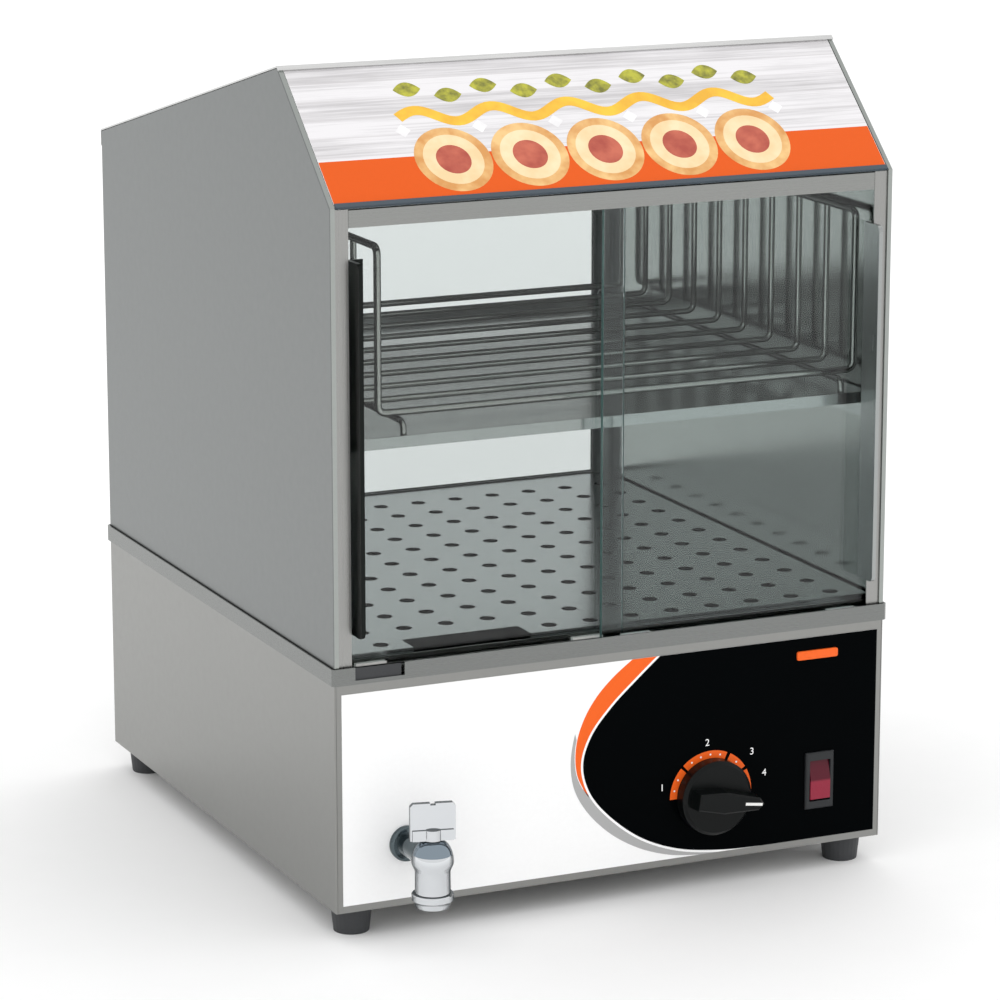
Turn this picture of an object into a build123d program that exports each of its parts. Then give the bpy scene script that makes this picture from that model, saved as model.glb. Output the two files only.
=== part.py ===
from build123d import *
from math import atan2, cos, degrees, hypot, radians, sin, sqrt, tan
import os

# A countertop steamer: a sheet-metal base holding a water tank, heater, controls and
# drain tap, and above it a glazed cabinet with a perforated floor, a shelf and a wire
# rack behind two sliding glass doors, under a pitched roof with a sign panel.
#
# Millimetres. +X to the right, +Y to the rear, +Z up. The origin is on the worktop,
# under the middle of the whole object, tap included.

# ------------------------------------------------------------------ driving sizes
cabinet_width = 375.0
cabinet_depth = 402.0
foot_height = 17.5
base_height = 143.0  # base casing, from its underside to the ledge frame
rear_height = 424.0  # cabinet's side at the rear, above the casing's underside
gable_setback = 81.0  # cabinet's peak, behind the front
sign_foot_height = 430.0  # where the sloping sign begins
sign_rise = 73.0  # from the foot of the sign to the cabinet's peak
sheet = 1.0  # stainless sheet
seam = 0.2  # gap where two sheets meet
hem_width = 3.2  # turned edge round a side panel
fold_edge = 0.6  # flat along the outside of a folded edge

band_height = 10.5  # band round the joint of base and cabinet
band_proud = 1.7
band_notch_start = 13.0  # cut in the band where condensate runs out
band_notch_width = 32.0
band_notch_depth = 8.0
ledge_width = 14.6  # shelf of the ledge frame that carries the tank

post_width = 12.0
post_leg = 17.0
header_height = 11.0
header_gap = 1.0  # below the foot of the sign

glass = 3.2
door_side_gap = 1.6  # glass to the end of its track
door_overlap = 17.0
slot_play = 0.8  # each side of the glass in its track
track_lip = 1.0
lower_lip_height = 7.0
rear_lip_height = 10.0
upper_lip_height = 9.6
glide_length = 20.0
glide_play = 0.2
glide_height = 7.0
glide_seat = 1.8  # glass stands this far above the track's floor
glide_inset = 14.0
door_head_cover = 3.0  # glass held behind the header

handle_length = 226.0
handle_thickness = 2.6
handle_depth = 18.5
handle_foot = 10.0
handle_foot_thickness = 1.0
handle_edge_gap = 2.4  # beside the post
handle_rise = 25.0  # above the glass's lower edge
handle_corner = 4.0

rear_frame_side = 13.0
rear_frame_head = 12.0
rear_frame_sill = 14.5
seal_thickness = 1.1
seal_width = 7.0
pane_overlap = 8.0  # rear pane, behind the edge of its window

roof_hem = 3.0
roof_drip = 10.0
sign_thickness = 1.0
sign_gap = 0.5
retainer_lip = 3.0
retainer_thickness = 0.8

tank_floor_height = 68.0
tank_flange = 8.0
tank_corner = 3.0
tank_floor_corner = 2.0
tank_front_gap = 2.0
tank_rear_setback = 16.0

tray_rise = 13.0  # from the ledge to the tray's top
tray_side_gap = 2.5
tray_front_gap = 1.0
tray_rear_gap = 8.0
hole_radius = 5.0
hole_sides = 6
hole_pitch_x = 28.15
hole_pitch_y = 30.2
hole_columns = 13
hole_rows = 12
first_hole_x = 13.9
first_hole_y = 28.9
fill_start = 58.0
fill_width = 78.0
fill_depth = 18.5

shelf_height = 281.0
shelf_rim = 6.0
shelf_front_setback = 20.0
shelf_rear_gap = 24.0
shelf_side_gap = 1.5
ledge_leg = 12.0
ledge_drop = 12.0
ledge_end = 4.0

wire = 4.8
rail_wire = 5.6
rack_wires = 10
rack_front_setback = 33.0
rack_rear_setback = 40.05
rack_left = 43.0
rack_right_gap = 7.5
rack_floor_rise = 18.0
rack_height = 101.0
rack_bend = 9.0
runner_inset = 13.0
runner_reach = 8.0
runner_bend = 6.0
rest_gap = 0.2
weld_depth = 0.4

label_thickness = 0.4
label_margin = 4.5
label_top_margin = 6.0

knob_x = 253.3
knob_z = 43.0
knob_radius = 24.0
knob_height = 10.0
knob_edge = 2.2
knob_socket = 6.0  # recess under the knob, round the bushing
grip_height = 21.0
grip_tail = 19.0
grip_tail_width = 11.5
grip_reach = 28.0
grip_width = 15.0
grip_tip_width = 9.0
grip_tip = 4.0
grip_edge = 1.0
grip_taper = 3.0
knob_gap = 1.0
pointer_angle = -8.0
pointer_inset = 2.5
pointer_length = 12.0
pointer_width = 1.8
pointer_depth = 0.8
shaft_radius = 3.0
shaft_flat = 1.4
shaft_flat_length = 6.0
shaft_cover = 5.0  # knob's thickness beyond the end of the shaft
shaft_root = 1.0
bushing_radius = 4.8
bushing_clearance = 3.0
bushing_length = 3.4
running_fit = 0.05
thermostat_width = 36.0
thermostat_tall = 32.0
thermostat_deep = 27.0
thermostat_screw_span = 28.0
thermostat_screw_radius = 1.25
thermostat_screw_depth = 8.0

switch_from_right = 45.0
switch_z = 43.0
bezel_width = 20.0
bezel_height = 37.0
bezel_thickness = 2.5
bezel_edge = 0.8
switch_body_width = 18.0
switch_body_height = 32.0
switch_body_depth = 22.0
rocker_width = 14.0
rocker_length = 25.0
rocker_play = 0.4
rocker_tilt = 7.0
rocker_ridge = 5.8  # ridge and ends of the rocker, in front of its pin
rocker_end = 4.2
rocker_back = 3.0
rocker_pin_radius = 1.5
rocker_pin_depth = 5.0  # pin, behind the bezel's face
rocker_pin_reach = 0.8
pocket_depth = 11.0
terminals = 3
terminal_pitch = 10.5
terminal_length = 8.0
terminal_width = 6.3
terminal_thickness = 0.8

lens_from_right = 47.6
lens_from_top = 15.5
lens_width = 29.0
lens_height = 11.5
lens_proud = 1.4
lens_edge = 0.6
lamp_width = 25.0
lamp_height = 8.5
lamp_depth = 14.0

tap_x = 46.0
tap_z = 39.4
tap_axis_out = 40.0
tap_dome_radius = 12.8
tap_barrel_radius = 10.8
tap_inlet_radius = 7.0
tap_barrel_drop = 19.4
tap_shoulder_drop = 5.0
tap_dome_rise = 13.5
tap_crown_radius = 4.6
dome_bands = 4
plug_radius = 6.0
plug_rise = 6.5
plug_drop = 6.5
port_radius = 3.2
outlet_bore = 4.6
nozzle_radius = 12.8
nozzle_rim = 4.0
nozzle_mouth_radius = 10.4
nozzle_bore = 7.0
nozzle_length = 8.5
stem_radius = 3.2
wing_width = 27.6
wing_height = 23.0
wing_thickness = 4.0
wing_corner = 1.8
wing_notch_width = 3.2
wing_notch_depth = 1.2
wing_hub_radius = 5.6
wing_hub_height = 6.5
wing_rib = 2.5  # hub's slot, wider than the wing
stem_cover = 1.0
handle_turn = -13.5  # wing's turn from the line of the front, as the tap is left closed
pipe_radius = 5.5
pipe_bore = 4.0
pipe_setback = 50.0
pipe_overlap = 10.0
flange_radius = 11.2
flange_thickness = 3.6
flange_edge = 1.4
locknut_flats = 21.0
locknut_thickness = 6.0

element_radius = 4.0
element_inset_x = 62.0
element_inset_y = 112.0
element_bend = 14.0
element_tail = 26.0
element_gap = 0.3
clamp_width = 14.0
clamp_thickness = 2.0
clamp_offset = 90.0  # each clamp, to its side of the middle
clamp_overhang = 14.0
stud_radius = 2.5
stud_end = 2.0  # stud below its nut
nut_flats = 8.0
nut_height = 4.0
rod_sides = 6
round_sides = 24

bulb_radius = 3.2
bulb_length = 60.0
bulb_setback = 45.0
capillary_radius = 0.8
capillary_bend = 3.5
capillary_rise = 8.0
sensor_from_left = 110.0
sensor_setback = 70.0
sensor_radius = 8.0
sensor_height = 9.0

foot_inset_x = 17.5
foot_inset_y = 19.0
foot_radius = 13.0
foot_tread_radius = 11.0
foot_screw_radius = 2.5
foot_screw_head = 2.5
foot_screw_head_radius = 4.5
foot_recess_radius = 6.0
foot_recess_depth = 5.0

gland_from_right = 45.0
gland_z = 35.0
gland_bore = 4.5
gland_radius = 8.0
gland_head_radius = 11.0
gland_head = 1.5
gland_length = 8.0

vent_slots = 9
vent_slot_length = 60.0
vent_slot_width = 4.0
vent_pitch = 14.0

block_width = 46.0
block_depth = 18.0
block_height = 16.0
block_poles = 3
block_recess = 5.0
block_from_right = 90.0
block_from_rear = 46.0

# ------------------------------------------------------------------ derived places
half = cabinet_width / 2
tap_reach = tap_axis_out + tap_dome_radius
front = (tap_reach - cabinet_depth - band_proud) / 2
rear = front + cabinet_depth
bottom = foot_height
ledge_z = bottom + base_height
deck_z = ledge_z + sheet  # top of the ledge, which carries cabinet and tank
band_top = ledge_z + band_height

rear_top = bottom + rear_height
sign_foot = bottom + sign_foot_height
gable = Vector(0, front + gable_setback, sign_foot + sign_rise)
sign_angle = atan2(gable.Z - sign_foot, gable_setback)
sign_length = hypot(gable.Z - sign_foot, gable_setback)
roof_angle = atan2(gable.Z - rear_top, rear - gable.Y)

post_y = front + sheet + seam  # front face of posts and header
post_inner = half - post_width
post_top = sign_foot - header_gap
header_bottom = post_top - header_height
track_y = post_y + sheet + seam
slot_width = glass + 2 * slot_play
front_glass_y = track_y + track_lip + slot_play
rear_glass_y = front_glass_y + glass + 2 * slot_play + track_lip
track_depth = 2 * slot_width + 3 * track_lip
track_half = half - 2 * sheet - 2 * seam
track_floor_top = deck_z + sheet
glass_bottom = track_floor_top + glide_seat
glass_top = header_bottom + door_head_cover
door_width = track_half - door_side_gap + door_overlap / 2
left_door_x = door_side_gap - track_half
right_door_x = -door_overlap / 2

tank_front = track_y + track_depth + tank_front_gap + sheet
tank_rear = rear - tank_rear_setback
tank_half = half - ledge_width - seam
tank_floor = bottom + tank_floor_height
tray_top = deck_z + tray_rise
shelf_z = bottom + shelf_height

label_y = front - label_thickness
dial_x = knob_x - half
dial_z = bottom + knob_z
switch_x = half - switch_from_right
rocker_z = bottom + switch_z
lens_x = half - lens_from_right
lamp_z = ledge_z - lens_from_top
spout_x = tap_x - half
spout_y = front - tap_axis_out
spout_z = bottom + tap_z

os.makedirs("parts", exist_ok=True)


def write(name, builder):
    builder.part.label = name
    export_step(builder.part, f"parts/{name}.step")


def slab(x0, x1, y0, y1, z0, z1, mode=Mode.ADD):
    """A block between two opposite corners."""
    with Locations(((x0 + x1) / 2, (y0 + y1) / 2, (z0 + z1) / 2)):
        Box(x1 - x0, y1 - y0, z1 - z0, mode=mode)


def drum(x, y, rings):
    """Bands on an upright axis between rings of (height, radius), each drawn from its wider end."""
    apothem = cos(radians(180 / round_sides))
    for first, second in zip(rings, rings[1:]):
        narrow, wide = sorted((first, second), key=lambda ring: ring[1])
        rise = abs(narrow[0] - wide[0])
        lean = degrees(atan2((wide[1] - narrow[1]) * apothem, rise))
        end_plane = Plane.XY.offset(wide[0])
        with BuildSketch(end_plane) as end:
            with Locations((x, y)):
                RegularPolygon(wide[1], round_sides)
        band = extrude(end.sketch, amount=rise, taper=lean, mode=Mode.PRIVATE)
        if narrow[0] < wide[0]:
            band = mirror(band, about=end_plane, mode=Mode.PRIVATE)
        add(band)


def facing(x, y, z):
    """A plane on the front of the base, looking out of it."""
    return Plane(origin=(x, y, z), x_dir=(1, 0, 0), z_dir=(0, -1, 0))


def bent(corners, bend):
    """Corners of a rod's path, with each square turn taken in two short steps."""
    places = [Vector(corner) for corner in corners]
    path = [places[0]]
    for before, corner, after in zip(places, places[1:], places[2:]):
        back = (before - corner).normalized() * bend
        ahead = (after - corner).normalized() * bend
        path += [corner + back, corner + (back + ahead) * (1 - sqrt(0.5)), corner + ahead]
    return path + [places[-1]]


def rod(corners, bend, radius):
    """A rod of eight flats along a bent path."""
    with BuildLine():
        route = Polyline(*bent(corners, bend))
    with BuildSketch(Plane(origin=route @ 0, z_dir=route % 0)) as profile:
        RegularPolygon(radius, rod_sides)
    sweep(sections=profile.sketch, path=route, transition=Transition.RIGHT)


# ------------------------------------------------------------------ base casing
for name, side in (("base_left_panel", -1), ("base_right_panel", 1)):
    with BuildPart() as base_side:
        outer = side * half
        inner = side * (half - sheet)
        slab(min(outer, inner), max(outer, inner), front, rear, bottom, ledge_z)
        corners = base_side.edges().filter_by(Axis.Z).filter_by_position(
            Axis.X, outer - 0.01, outer + 0.01
        )
        chamfer(corners, fold_edge)
    write(name, base_side)

plate_half = half - sheet - seam


def upright_pan(y_face, inward):
    """A plate between the side panels with a flange turned inwards at each end."""
    y_back = y_face + inward * sheet
    slab(-plate_half, plate_half, min(y_face, y_back), max(y_face, y_back), bottom, ledge_z)
    flange_end = y_face + inward * post_width
    for end in (-1, 1):
        x0 = end * plate_half
        x1 = end * (plate_half - sheet)
        slab(
            min(x0, x1), max(x0, x1), min(y_face, flange_end), max(y_face, flange_end),
            bottom + sheet + seam, ledge_z,
        )


with BuildPart() as base_front_panel:
    upright_pan(front, 1)
    with BuildSketch(facing(dial_x, front + sheet, dial_z)):
        RegularPolygon(bushing_radius + seam, round_sides)
        with GridLocations(thermostat_screw_span, 0, 2, 1):
            RegularPolygon(thermostat_screw_radius + seam, 6)
    extrude(amount=sheet, mode=Mode.SUBTRACT)
    with BuildSketch(facing(switch_x, front + sheet, rocker_z)):
        Rectangle(switch_body_width + 2 * seam, switch_body_height + 2 * seam)
    extrude(amount=sheet, mode=Mode.SUBTRACT)
    with BuildSketch(facing(lens_x, front + sheet, lamp_z)):
        Rectangle(lamp_width + 2 * seam, lamp_height + 2 * seam)
    extrude(amount=sheet, mode=Mode.SUBTRACT)
    with BuildSketch(facing(spout_x, front + sheet, spout_z)):
        RegularPolygon(pipe_radius + seam, round_sides)
    extrude(amount=sheet, mode=Mode.SUBTRACT)
write("base_front_panel", base_front_panel)

with BuildPart() as base_rear_panel:
    upright_pan(rear, -1)
    with BuildSketch(facing(half - gland_from_right, rear, bottom + gland_z)):
        RegularPolygon(gland_radius + seam, round_sides)
    extrude(amount=sheet, mode=Mode.SUBTRACT)
write("base_rear_panel", base_rear_panel)

feet = [
    (f"foot_{fore}_{hand}", sx * (half - foot_inset_x), y)
    for fore, y in (("front", front + foot_inset_y), ("rear", rear - foot_inset_y))
    for hand, sx in (("left", -1), ("right", 1))
]

with BuildPart() as base_bottom_plate:
    slab(
        -plate_half, plate_half, front + sheet + seam, rear - sheet - seam,
        bottom, bottom + sheet,
    )
    with BuildSketch(Plane.XY.offset(bottom)):
        for _, x, y in feet:
            with Locations((x, y)):
                RegularPolygon(foot_screw_radius + seam, 6)
        with Locations((0, (front + rear) / 2)):
            with GridLocations(vent_pitch, 0, vent_slots, 1):
                Rectangle(vent_slot_width, vent_slot_length)
    extrude(amount=sheet, mode=Mode.SUBTRACT)
write("base_bottom_plate", base_bottom_plate)

for name, x, y in feet:
    with BuildPart() as foot:
        drum(x, y, [(0, foot_tread_radius), (foot_height, foot_radius)])
        for depth, radius in (
            (foot_recess_depth, foot_recess_radius),
            (foot_height, foot_screw_radius + seam),
        ):
            with BuildSketch(Plane.XY):
                with Locations((x, y)):
                    RegularPolygon(radius, 6)
            extrude(amount=depth, mode=Mode.SUBTRACT)
    write(name, foot)

screw_places = [(x, y) for _, x, y in feet]
with BuildPart() as foot_screws:
    for low, high, radius in (
        (foot_recess_depth - foot_screw_head, foot_recess_depth, foot_screw_head_radius),
        (foot_recess_depth, bottom + sheet + nut_height, foot_screw_radius),
        (bottom + sheet, bottom + sheet + nut_height - seam, nut_flats / 2),
    ):
        with BuildSketch(Plane.XY.offset(low)):
            with Locations(*screw_places):
                RegularPolygon(radius, 6)
        extrude(amount=high - low)
write("foot_screws", foot_screws)

# ------------------------------------------------------------------ front label
with BuildPart() as front_label:
    with BuildSketch(facing(0, front, bottom)):
        low = label_margin
        high = base_height - label_top_margin
        with Locations((0, (low + high) / 2)):
            Rectangle(cabinet_width - 2 * label_margin, high - low)
        with Locations((dial_x, knob_z)):
            RegularPolygon(bushing_radius + seam, round_sides, mode=Mode.SUBTRACT)
        with Locations((switch_x, switch_z)):
            Rectangle(
                switch_body_width + 2 * seam, switch_body_height + 2 * seam, mode=Mode.SUBTRACT
            )
        with Locations((lens_x, lamp_z - bottom)):
            Rectangle(lamp_width + 2 * seam, lamp_height + 2 * seam, mode=Mode.SUBTRACT)
        with Locations((spout_x, tap_z)):
            RegularPolygon(pipe_radius + seam, round_sides, mode=Mode.SUBTRACT)
    extrude(amount=label_thickness)
write("front_label", front_label)

# ------------------------------------------------------------------ ledge frame and tank
band_half = half + band_proud
band_front = front - band_proud
band_rear = rear + band_proud
with BuildPart() as ledge_frame:
    slab(-band_half, band_half, band_front, band_rear, ledge_z, band_top)
    chamfer(ledge_frame.edges().filter_by(Axis.Z), band_proud)
    slab(
        -band_half + sheet, band_half - sheet, band_front + sheet, band_rear - sheet,
        deck_z, band_top, Mode.SUBTRACT,
    )
    slab(
        -(half - ledge_width), half - ledge_width, tank_front - sheet - seam, tank_rear + sheet + seam,
        ledge_z, deck_z, Mode.SUBTRACT,
    )
    notch_left = band_notch_start - half
    slab(
        notch_left, notch_left + band_notch_width, band_front, band_front + sheet,
        band_top - band_notch_depth, band_top, Mode.SUBTRACT,
    )
write("ledge_frame", ledge_frame)

with BuildPart() as water_tank:
    middle = (tank_front + tank_rear) / 2
    length = tank_rear - tank_front
    with BuildSketch(Plane.XY.offset(tank_floor - sheet)):
        with Locations((0, middle)):
            Rectangle(2 * tank_half, length + 2 * sheet)
    extrude(amount=deck_z - tank_floor + 2 * sheet)
    chamfer(water_tank.edges().filter_by(Axis.Z), tank_corner)
    chamfer(water_tank.faces().sort_by(Axis.Z)[0].edges(), tank_floor_corner)
    offset(amount=-sheet, openings=water_tank.faces().sort_by(Axis.Z)[-1])
    with BuildSketch(mode=Mode.PRIVATE) as mouth:
        with Locations((0, middle)):
            Rectangle(2 * (tank_half - sheet), length)
        chamfer(mouth.vertices(), tank_corner)
    with BuildSketch(Plane.XY.offset(deck_z)):
        flange_front = track_y + track_depth + seam
        flange_rear = tank_rear + tank_flange
        with Locations((0, (flange_front + flange_rear) / 2)):
            Rectangle(2 * (tank_half + tank_flange), flange_rear - flange_front)
        add(mouth.sketch_local, mode=Mode.SUBTRACT)
    extrude(amount=sheet)
    with BuildSketch(Plane.XY.offset(tank_floor - sheet)):
        with Locations((spout_x, front + pipe_setback)):
            RegularPolygon(pipe_bore, rod_sides)
    extrude(amount=sheet, mode=Mode.SUBTRACT)
write("water_tank", water_tank)

# ------------------------------------------------------------------ drain and tap
pipe_y = front + pipe_setback
collar_y = label_y - flange_thickness  # rear end of the tap
with BuildPart() as drain_pipe:
    with BuildLine():
        pipe_route = Polyline(
            (spout_x, pipe_y, tank_floor - sheet),
            (spout_x, pipe_y, spout_z),
            (spout_x, collar_y - pipe_overlap, spout_z),
        )
    with BuildSketch(Plane(origin=pipe_route @ 0, z_dir=pipe_route % 0)):
        RegularPolygon(pipe_radius, round_sides)
        RegularPolygon(pipe_bore, rod_sides, mode=Mode.SUBTRACT)
    sweep(path=pipe_route, transition=Transition.RIGHT)
write("drain_pipe", drain_pipe)

with BuildPart() as drain_locknut:
    with BuildSketch(facing(spout_x, front + sheet + locknut_thickness, spout_z)):
        RegularPolygon(locknut_flats / 2, 6, major_radius=False)
        RegularPolygon(pipe_radius + seam, round_sides, mode=Mode.SUBTRACT)
    extrude(amount=locknut_thickness)
write("drain_locknut", drain_locknut)

with BuildPart() as drain_collar:
    with BuildSketch(facing(spout_x, label_y, spout_z)):
        RegularPolygon(flange_radius, round_sides)
    extrude(amount=flange_thickness)
    chamfer(drain_collar.faces().sort_by(Axis.Y)[0].edges(), flange_edge)
    with BuildSketch(facing(spout_x, label_y, spout_z)):
        Circle(pipe_radius + running_fit)
    extrude(amount=flange_thickness, mode=Mode.SUBTRACT)
write("drain_collar", drain_collar)

dome = [
    (
        tap_dome_rise * sin(radians(90 * n / dome_bands)),
        tap_crown_radius + (tap_dome_radius - tap_crown_radius) * cos(radians(90 * n / dome_bands)),
    )
    for n in range(dome_bands + 1)
]
barrel = [(-tap_barrel_drop, tap_barrel_radius), (-tap_shoulder_drop, tap_barrel_radius)]
with BuildPart() as tap_body:
    drum(spout_x, spout_y, [(spout_z + rise, radius) for rise, radius in barrel + dome])
    with BuildSketch(facing(spout_x, collar_y, spout_z)):
        RegularPolygon(tap_inlet_radius, round_sides)
    extrude(amount=collar_y - spout_y)
    with BuildSketch(facing(spout_x, collar_y, spout_z)):
        Circle(pipe_radius + running_fit)
    extrude(amount=pipe_overlap + seam, mode=Mode.SUBTRACT)
    with BuildSketch(facing(spout_x, collar_y, spout_z)):
        RegularPolygon(pipe_bore, rod_sides)
    extrude(amount=collar_y - spout_y, mode=Mode.SUBTRACT)
    for low, high, radius in (
        (-tap_barrel_drop, -plug_drop, outlet_bore),
        (-plug_drop, plug_rise, plug_radius + running_fit),
        (plug_rise, tap_dome_rise, stem_radius + running_fit),
    ):
        with BuildSketch(Plane.XY.offset(spout_z + low)):
            with Locations((spout_x, spout_y)):
                Circle(radius)
        extrude(amount=high - low, mode=Mode.SUBTRACT)
write("tap_body", tap_body)

nozzle_top = spout_z - tap_barrel_drop
with BuildPart() as tap_nozzle:
    drum(spout_x, spout_y, [
        (nozzle_top - nozzle_length, nozzle_mouth_radius),
        (nozzle_top - nozzle_rim, nozzle_radius),
        (nozzle_top, nozzle_radius),
    ])
    with BuildSketch(Plane.XY.offset(nozzle_top - nozzle_length)):
        with Locations((spout_x, spout_y)):
            Circle(nozzle_bore)
    extrude(amount=nozzle_length, mode=Mode.SUBTRACT)
write("tap_nozzle", tap_nozzle)

handle_z = spout_z + tap_dome_rise + 2 * seam
across = (cos(radians(handle_turn)), sin(radians(handle_turn)), 0)  # along the wing


def turned(z):
    """A level plane on the tap's axis, turned with the handle."""
    return Plane(origin=(spout_x, spout_y, z), x_dir=across, z_dir=(0, 0, 1))


upright = Plane(
    origin=(spout_x, spout_y, handle_z), x_dir=across, z_dir=(across[1], -across[0], 0)
)
port_plane = Plane(origin=(spout_x, spout_y, spout_z), x_dir=(0, 0, 1), z_dir=across)
with BuildPart() as tap_stem:
    with BuildSketch(turned(spout_z - plug_drop + running_fit)):
        Circle(plug_radius)
    extrude(amount=plug_drop + plug_rise - 2 * running_fit)
    with BuildSketch(turned(spout_z)):
        Circle(stem_radius)
    extrude(amount=handle_z + wing_hub_height - stem_cover - spout_z)
    with BuildSketch(turned(spout_z - plug_drop)):
        RegularPolygon(port_radius, rod_sides)
    extrude(amount=plug_drop, mode=Mode.SUBTRACT)
    with BuildSketch(port_plane):
        RegularPolygon(port_radius, rod_sides)
    extrude(amount=plug_radius + running_fit, mode=Mode.SUBTRACT)
write("tap_stem", tap_stem)

with BuildPart() as tap_handle:
    with BuildSketch(upright.offset(-wing_thickness / 2)):
        with Locations((0, wing_height / 2)):
            Rectangle(wing_width, wing_height)
        with Locations((0, wing_height)):
            Rectangle(wing_notch_width, 2 * wing_notch_depth, mode=Mode.SUBTRACT)
    extrude(amount=wing_thickness)
    top_corners = tap_handle.edges().filter_by(Axis(upright.origin, upright.z_dir)).group_by(Axis.Z)[-1]
    tips = top_corners.sort_by(Axis(upright.origin, upright.x_dir))
    chamfer([tips[0], tips[-1]], wing_corner)
    with BuildSketch(turned(handle_z)):
        Rectangle(wing_width - wing_rib, wing_thickness + wing_rib)
        RegularPolygon(wing_hub_radius, round_sides)
    extrude(amount=wing_hub_height)
    with BuildSketch(turned(handle_z)):
        Circle(stem_radius + running_fit)
    extrude(amount=wing_hub_height - stem_cover + running_fit, mode=Mode.SUBTRACT)
write("tap_handle", tap_handle)

# ------------------------------------------------------------------ heater
under_tank = tank_floor - sheet
element_z = under_tank - element_gap - element_radius
element_x = tank_half - element_inset_x
element_front = front + element_inset_y
element_rear = rear - element_inset_y
with BuildPart() as heating_element:
    rod(
        [
            (element_x, element_front, element_z - element_tail),
            (element_x, element_front, element_z),
            (-element_x, element_front, element_z),
            (-element_x, element_rear, element_z),
            (element_x, element_rear, element_z),
            (element_x, element_rear, element_z - element_tail),
        ],
        element_bend, element_radius,
    )
write("heating_element", heating_element)

clamp_top = element_z - element_radius - element_gap
clamp_front = element_front - clamp_overhang
clamp_rear = element_rear + clamp_overhang
studs = [
    (x, y)
    for x in (-clamp_offset, clamp_offset)
    for y in (clamp_front + clamp_width / 2, clamp_rear - clamp_width / 2)
]
with BuildPart() as element_clamps:
    for x in (-clamp_offset, clamp_offset):
        slab(
            x - clamp_width / 2, x + clamp_width / 2, clamp_front, clamp_rear,
            clamp_top - clamp_thickness, clamp_top,
        )
    with BuildSketch(Plane.XY.offset(clamp_top - clamp_thickness)):
        with Locations(*studs):
            RegularPolygon(stud_radius + seam, 6)
    extrude(amount=clamp_thickness, mode=Mode.SUBTRACT)
write("element_clamps", element_clamps)

nut_top = clamp_top - clamp_thickness
with BuildPart() as clamp_studs:
    with BuildSketch(Plane.XY.offset(nut_top - nut_height - stud_end)):
        with Locations(*studs):
            RegularPolygon(stud_radius, 6)
    extrude(amount=under_tank - nut_top + nut_height + stud_end)
    with BuildSketch(Plane.XY.offset(nut_top - nut_height)):
        with Locations(*studs):
            RegularPolygon(nut_flats / 2, 6, major_radius=False)
    extrude(amount=nut_height)
write("clamp_studs", clamp_studs)

with BuildPart() as low_water_sensor:
    with BuildSketch(Plane.XY.offset(under_tank - sensor_height)):
        with Locations((sensor_from_left - half, front + sensor_setback)):
            RegularPolygon(sensor_radius, round_sides)
    extrude(amount=sensor_height)
write("low_water_sensor", low_water_sensor)

# ------------------------------------------------------------------ thermostat and knob
panel_back = front + sheet
thermostat_back = panel_back + thermostat_deep
with BuildPart() as thermostat_body:
    with BuildSketch(facing(dial_x, thermostat_back, dial_z)):
        Rectangle(thermostat_width, thermostat_tall)
    extrude(amount=thermostat_deep)
    with BuildSketch(facing(dial_x, panel_back, dial_z)):
        RegularPolygon(bushing_radius, round_sides)
    extrude(amount=bushing_length)
    with BuildSketch(facing(dial_x, panel_back + thermostat_deep / 2, dial_z)):
        Circle(shaft_radius + running_fit)
    extrude(amount=thermostat_deep, mode=Mode.SUBTRACT)
    with BuildSketch(facing(dial_x, panel_back + thermostat_screw_depth, dial_z)):
        with GridLocations(thermostat_screw_span, 0, 2, 1):
            RegularPolygon(thermostat_screw_radius, 6)
    extrude(amount=thermostat_screw_depth, mode=Mode.SUBTRACT)
write("thermostat_body", thermostat_body)

with BuildPart() as thermostat_screws:
    with BuildSketch(facing(dial_x, panel_back + thermostat_screw_depth, dial_z)):
        with GridLocations(thermostat_screw_span, 0, 2, 1):
            RegularPolygon(thermostat_screw_radius, 6)
    extrude(amount=thermostat_screw_depth + sheet)
write("thermostat_screws", thermostat_screws)

knob_back = label_y - knob_gap
shaft_start = panel_back + thermostat_deep / 2 - shaft_root
shaft_tip = knob_back - grip_height + shaft_cover
with BuildPart() as thermostat_shaft:
    with BuildSketch(facing(dial_x, shaft_start, dial_z)):
        Circle(shaft_radius)
    extrude(amount=shaft_start - shaft_tip)
    flat_start = knob_back - shaft_flat_length
    with BuildSketch(facing(dial_x, flat_start, dial_z)):
        with Locations((0, 2 * shaft_radius - shaft_flat)):
            Rectangle(2 * shaft_radius, 2 * shaft_radius)
    extrude(amount=flat_start - shaft_tip, mode=Mode.SUBTRACT)
write("thermostat_shaft", thermostat_shaft)

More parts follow.
